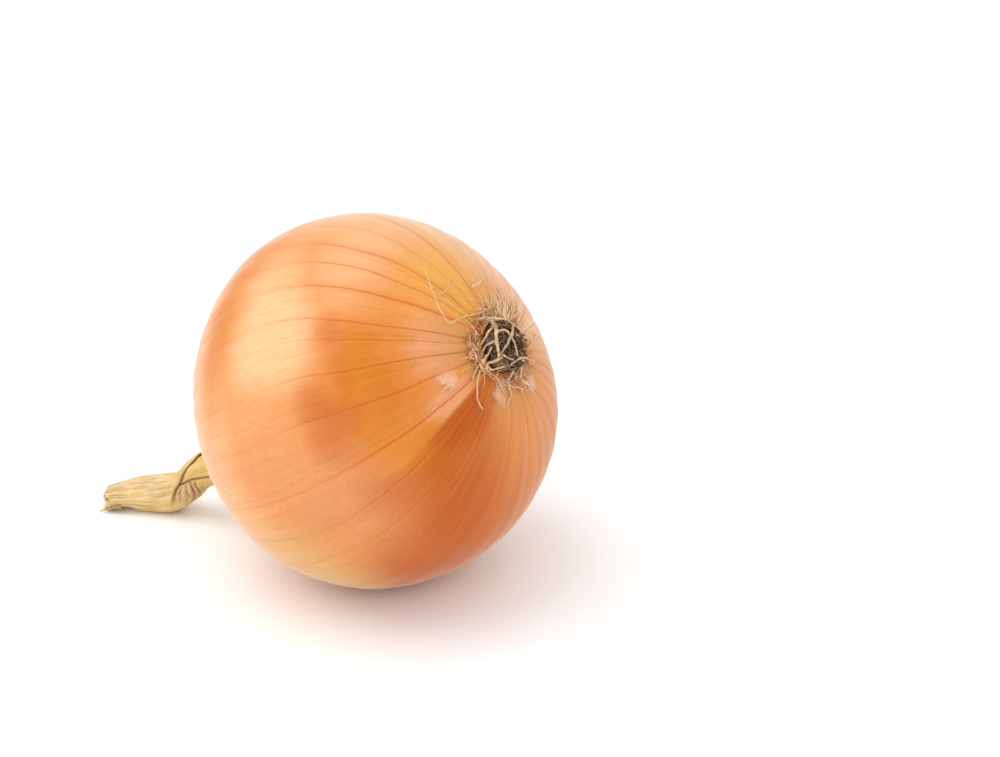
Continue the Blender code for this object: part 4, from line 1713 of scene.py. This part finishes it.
    def build(self) -> None:
        """Makes the bundle, the strap and the leaf ends, and dresses them in dry straw."""
        tips = [self.tip(*sizes, k) for k, sizes in enumerate(self.tips)]
        make_piece("neck_bundle", [self.surface()], self.straw, ["neck"])
        make_piece("neck_strap", [self.strap()], self.straw, ["neck_wrap"])
        make_piece("neck_leaf_ends", tips, self.straw)


# ---- The studio ----


@dataclass(frozen=True)
class Studio:
    """A plain pale floor, soft light and the camera.

    Attributes:
        middle: what they all stand round.
        azimuth, elevation: the direction that the camera looks from, in radians.
        lens, sensor: the camera's, in millimetres.
        distance, aside, above: how far off it stands, and how far past the middle it looks.
        near, far: where its view begins and ends.
        floor_half, floor_colour: half the floor's side, and its colour.
        lamp_size, lamp_distance: of every lamp.
        lamps: each one's name, power and direction.
    """

    middle: tuple[float, float, float]
    azimuth: float = math.radians(29)
    elevation: float = math.radians(24)
    lens: float = 100.0
    sensor: float = 36.0
    distance: float = 0.5765
    aside: float = 0.02655
    above: float = 0.00508
    near: float = 0.05
    far: float = 50.0
    floor_half: float = 12.0
    floor_colour: tuple[float, float, float, float] = (0.93, 0.948, 0.956, 1.0)
    lamp_size: float = 1.0
    lamp_distance: float = 1.0
    lamps: tuple[tuple[str, float, tuple[float, float, float]], ...] = (
        ("key", 3.6, (-0.38, -0.22, 0.90)),
        ("fill", 2.1, (0.42, -0.80, 0.40)),
        ("side", 1.5, (-0.85, -0.45, 0.28)),
    )

    def floor(self) -> None:
        """A large pale floor under the onion."""
        mesh = bpy.data.meshes.new("studio_floor")
        half = self.floor_half
        corners = [(x * half, y * half, 0.0) for x, y in ((-1, -1), (1, -1), (1, 1), (-1, 1))]
        mesh.from_pydata(corners, [], [range(4)])
        material, graph, shader = new_finish("pale_floor")
        graph.set(shader, {"Base Color": self.floor_colour, "Roughness": 0.6, "Specular IOR Level": 0.15})
        mesh.materials.append(material)
        add_object("studio_floor", mesh)

    def light(self) -> None:
        """An even white sky, and large soft lights from the upper left, the front and the left."""
        world = bpy.data.worlds.new("studio")
        world.use_nodes = True
        sky = {"Color": (1.0, 1.0, 1.0, 1.0), "Strength": 1.0}
        Graph(world.node_tree).set(world.node_tree.nodes["Background"], sky)
        for name, power, way in self.lamps:
            lamp = bpy.data.lights.new(name, "AREA")
            lamp.shape, lamp.size, lamp.energy = "DISK", self.lamp_size, power
            direction = Vector(way).normalized()
            place = Matrix.Translation(Vector(self.middle) + direction * self.lamp_distance)
            add_object(name, lamp, place @ direction.to_track_quat("Z", "Y").to_matrix().to_4x4())
        bpy.context.scene.world = world
        bpy.context.scene.view_settings.view_transform = "Standard"

    def camera(self) -> None:
        """The camera, which looks past the bulb's middle so that the onion stands left in the frame."""
        a, e = self.azimuth, self.elevation
        back = Vector((math.sin(a) * math.cos(e), -math.cos(a) * math.cos(e), math.sin(e)))
        right = Vector((math.cos(a), math.sin(a), 0.0))
        up = back.cross(right)
        target = Vector(self.middle) + right * self.aside + up * self.above
        data = bpy.data.cameras.new("camera")
        data.lens, data.sensor_width = self.lens, self.sensor
        data.clip_start, data.clip_end = self.near, self.far
        turn = Matrix((right, up, back)).transposed().to_4x4()
        place = Matrix.Translation(target + back * self.distance) @ turn
        bpy.context.scene.camera = add_object("camera", data, place)


def find_axis(form: BulbForm) -> OnionAxis:
    """Places the onion's frame so that the outline's upper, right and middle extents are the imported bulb's.

    Args:
        form: the bulb's outline.

    Returns:
        The frame.
    """
    low, high = (np.array(corner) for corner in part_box("bulb"))
    turn = np.linspace(0.0, 2 * np.pi, 721)
    radius, place = form.profile(600, RootEnd.collar).T[..., None]
    far = form.lobed(radius, turn)
    points = OnionAxis((0.0, 0.0, 0.0)).placed(round_axis(far, turn, place))
    own_low, own_high = points.min((0, 1)), points.max((0, 1))
    middle = high - own_high
    middle[1] = (high + low - own_high - own_low)[1] / 2
    return OnionAxis(tuple(middle.tolist()))


def main() -> None:
    """Builds the studio, the bulb, the root end and the neck."""
    logging.basicConfig(level=logging.INFO, format="%(name)s: %(message)s")
    form = BulbForm()
    axis = find_axis(form)
    log.info("middle of the bulb: %.5f %.5f %.5f", *axis.middle)
    studio = Studio(axis.middle)
    studio.camera()
    studio.light()
    studio.floor()
    Bulb(axis, form).build()
    RootEnd(axis, form).build()
    Neck(axis, form).build()


if __name__ == "__main__":
    main()
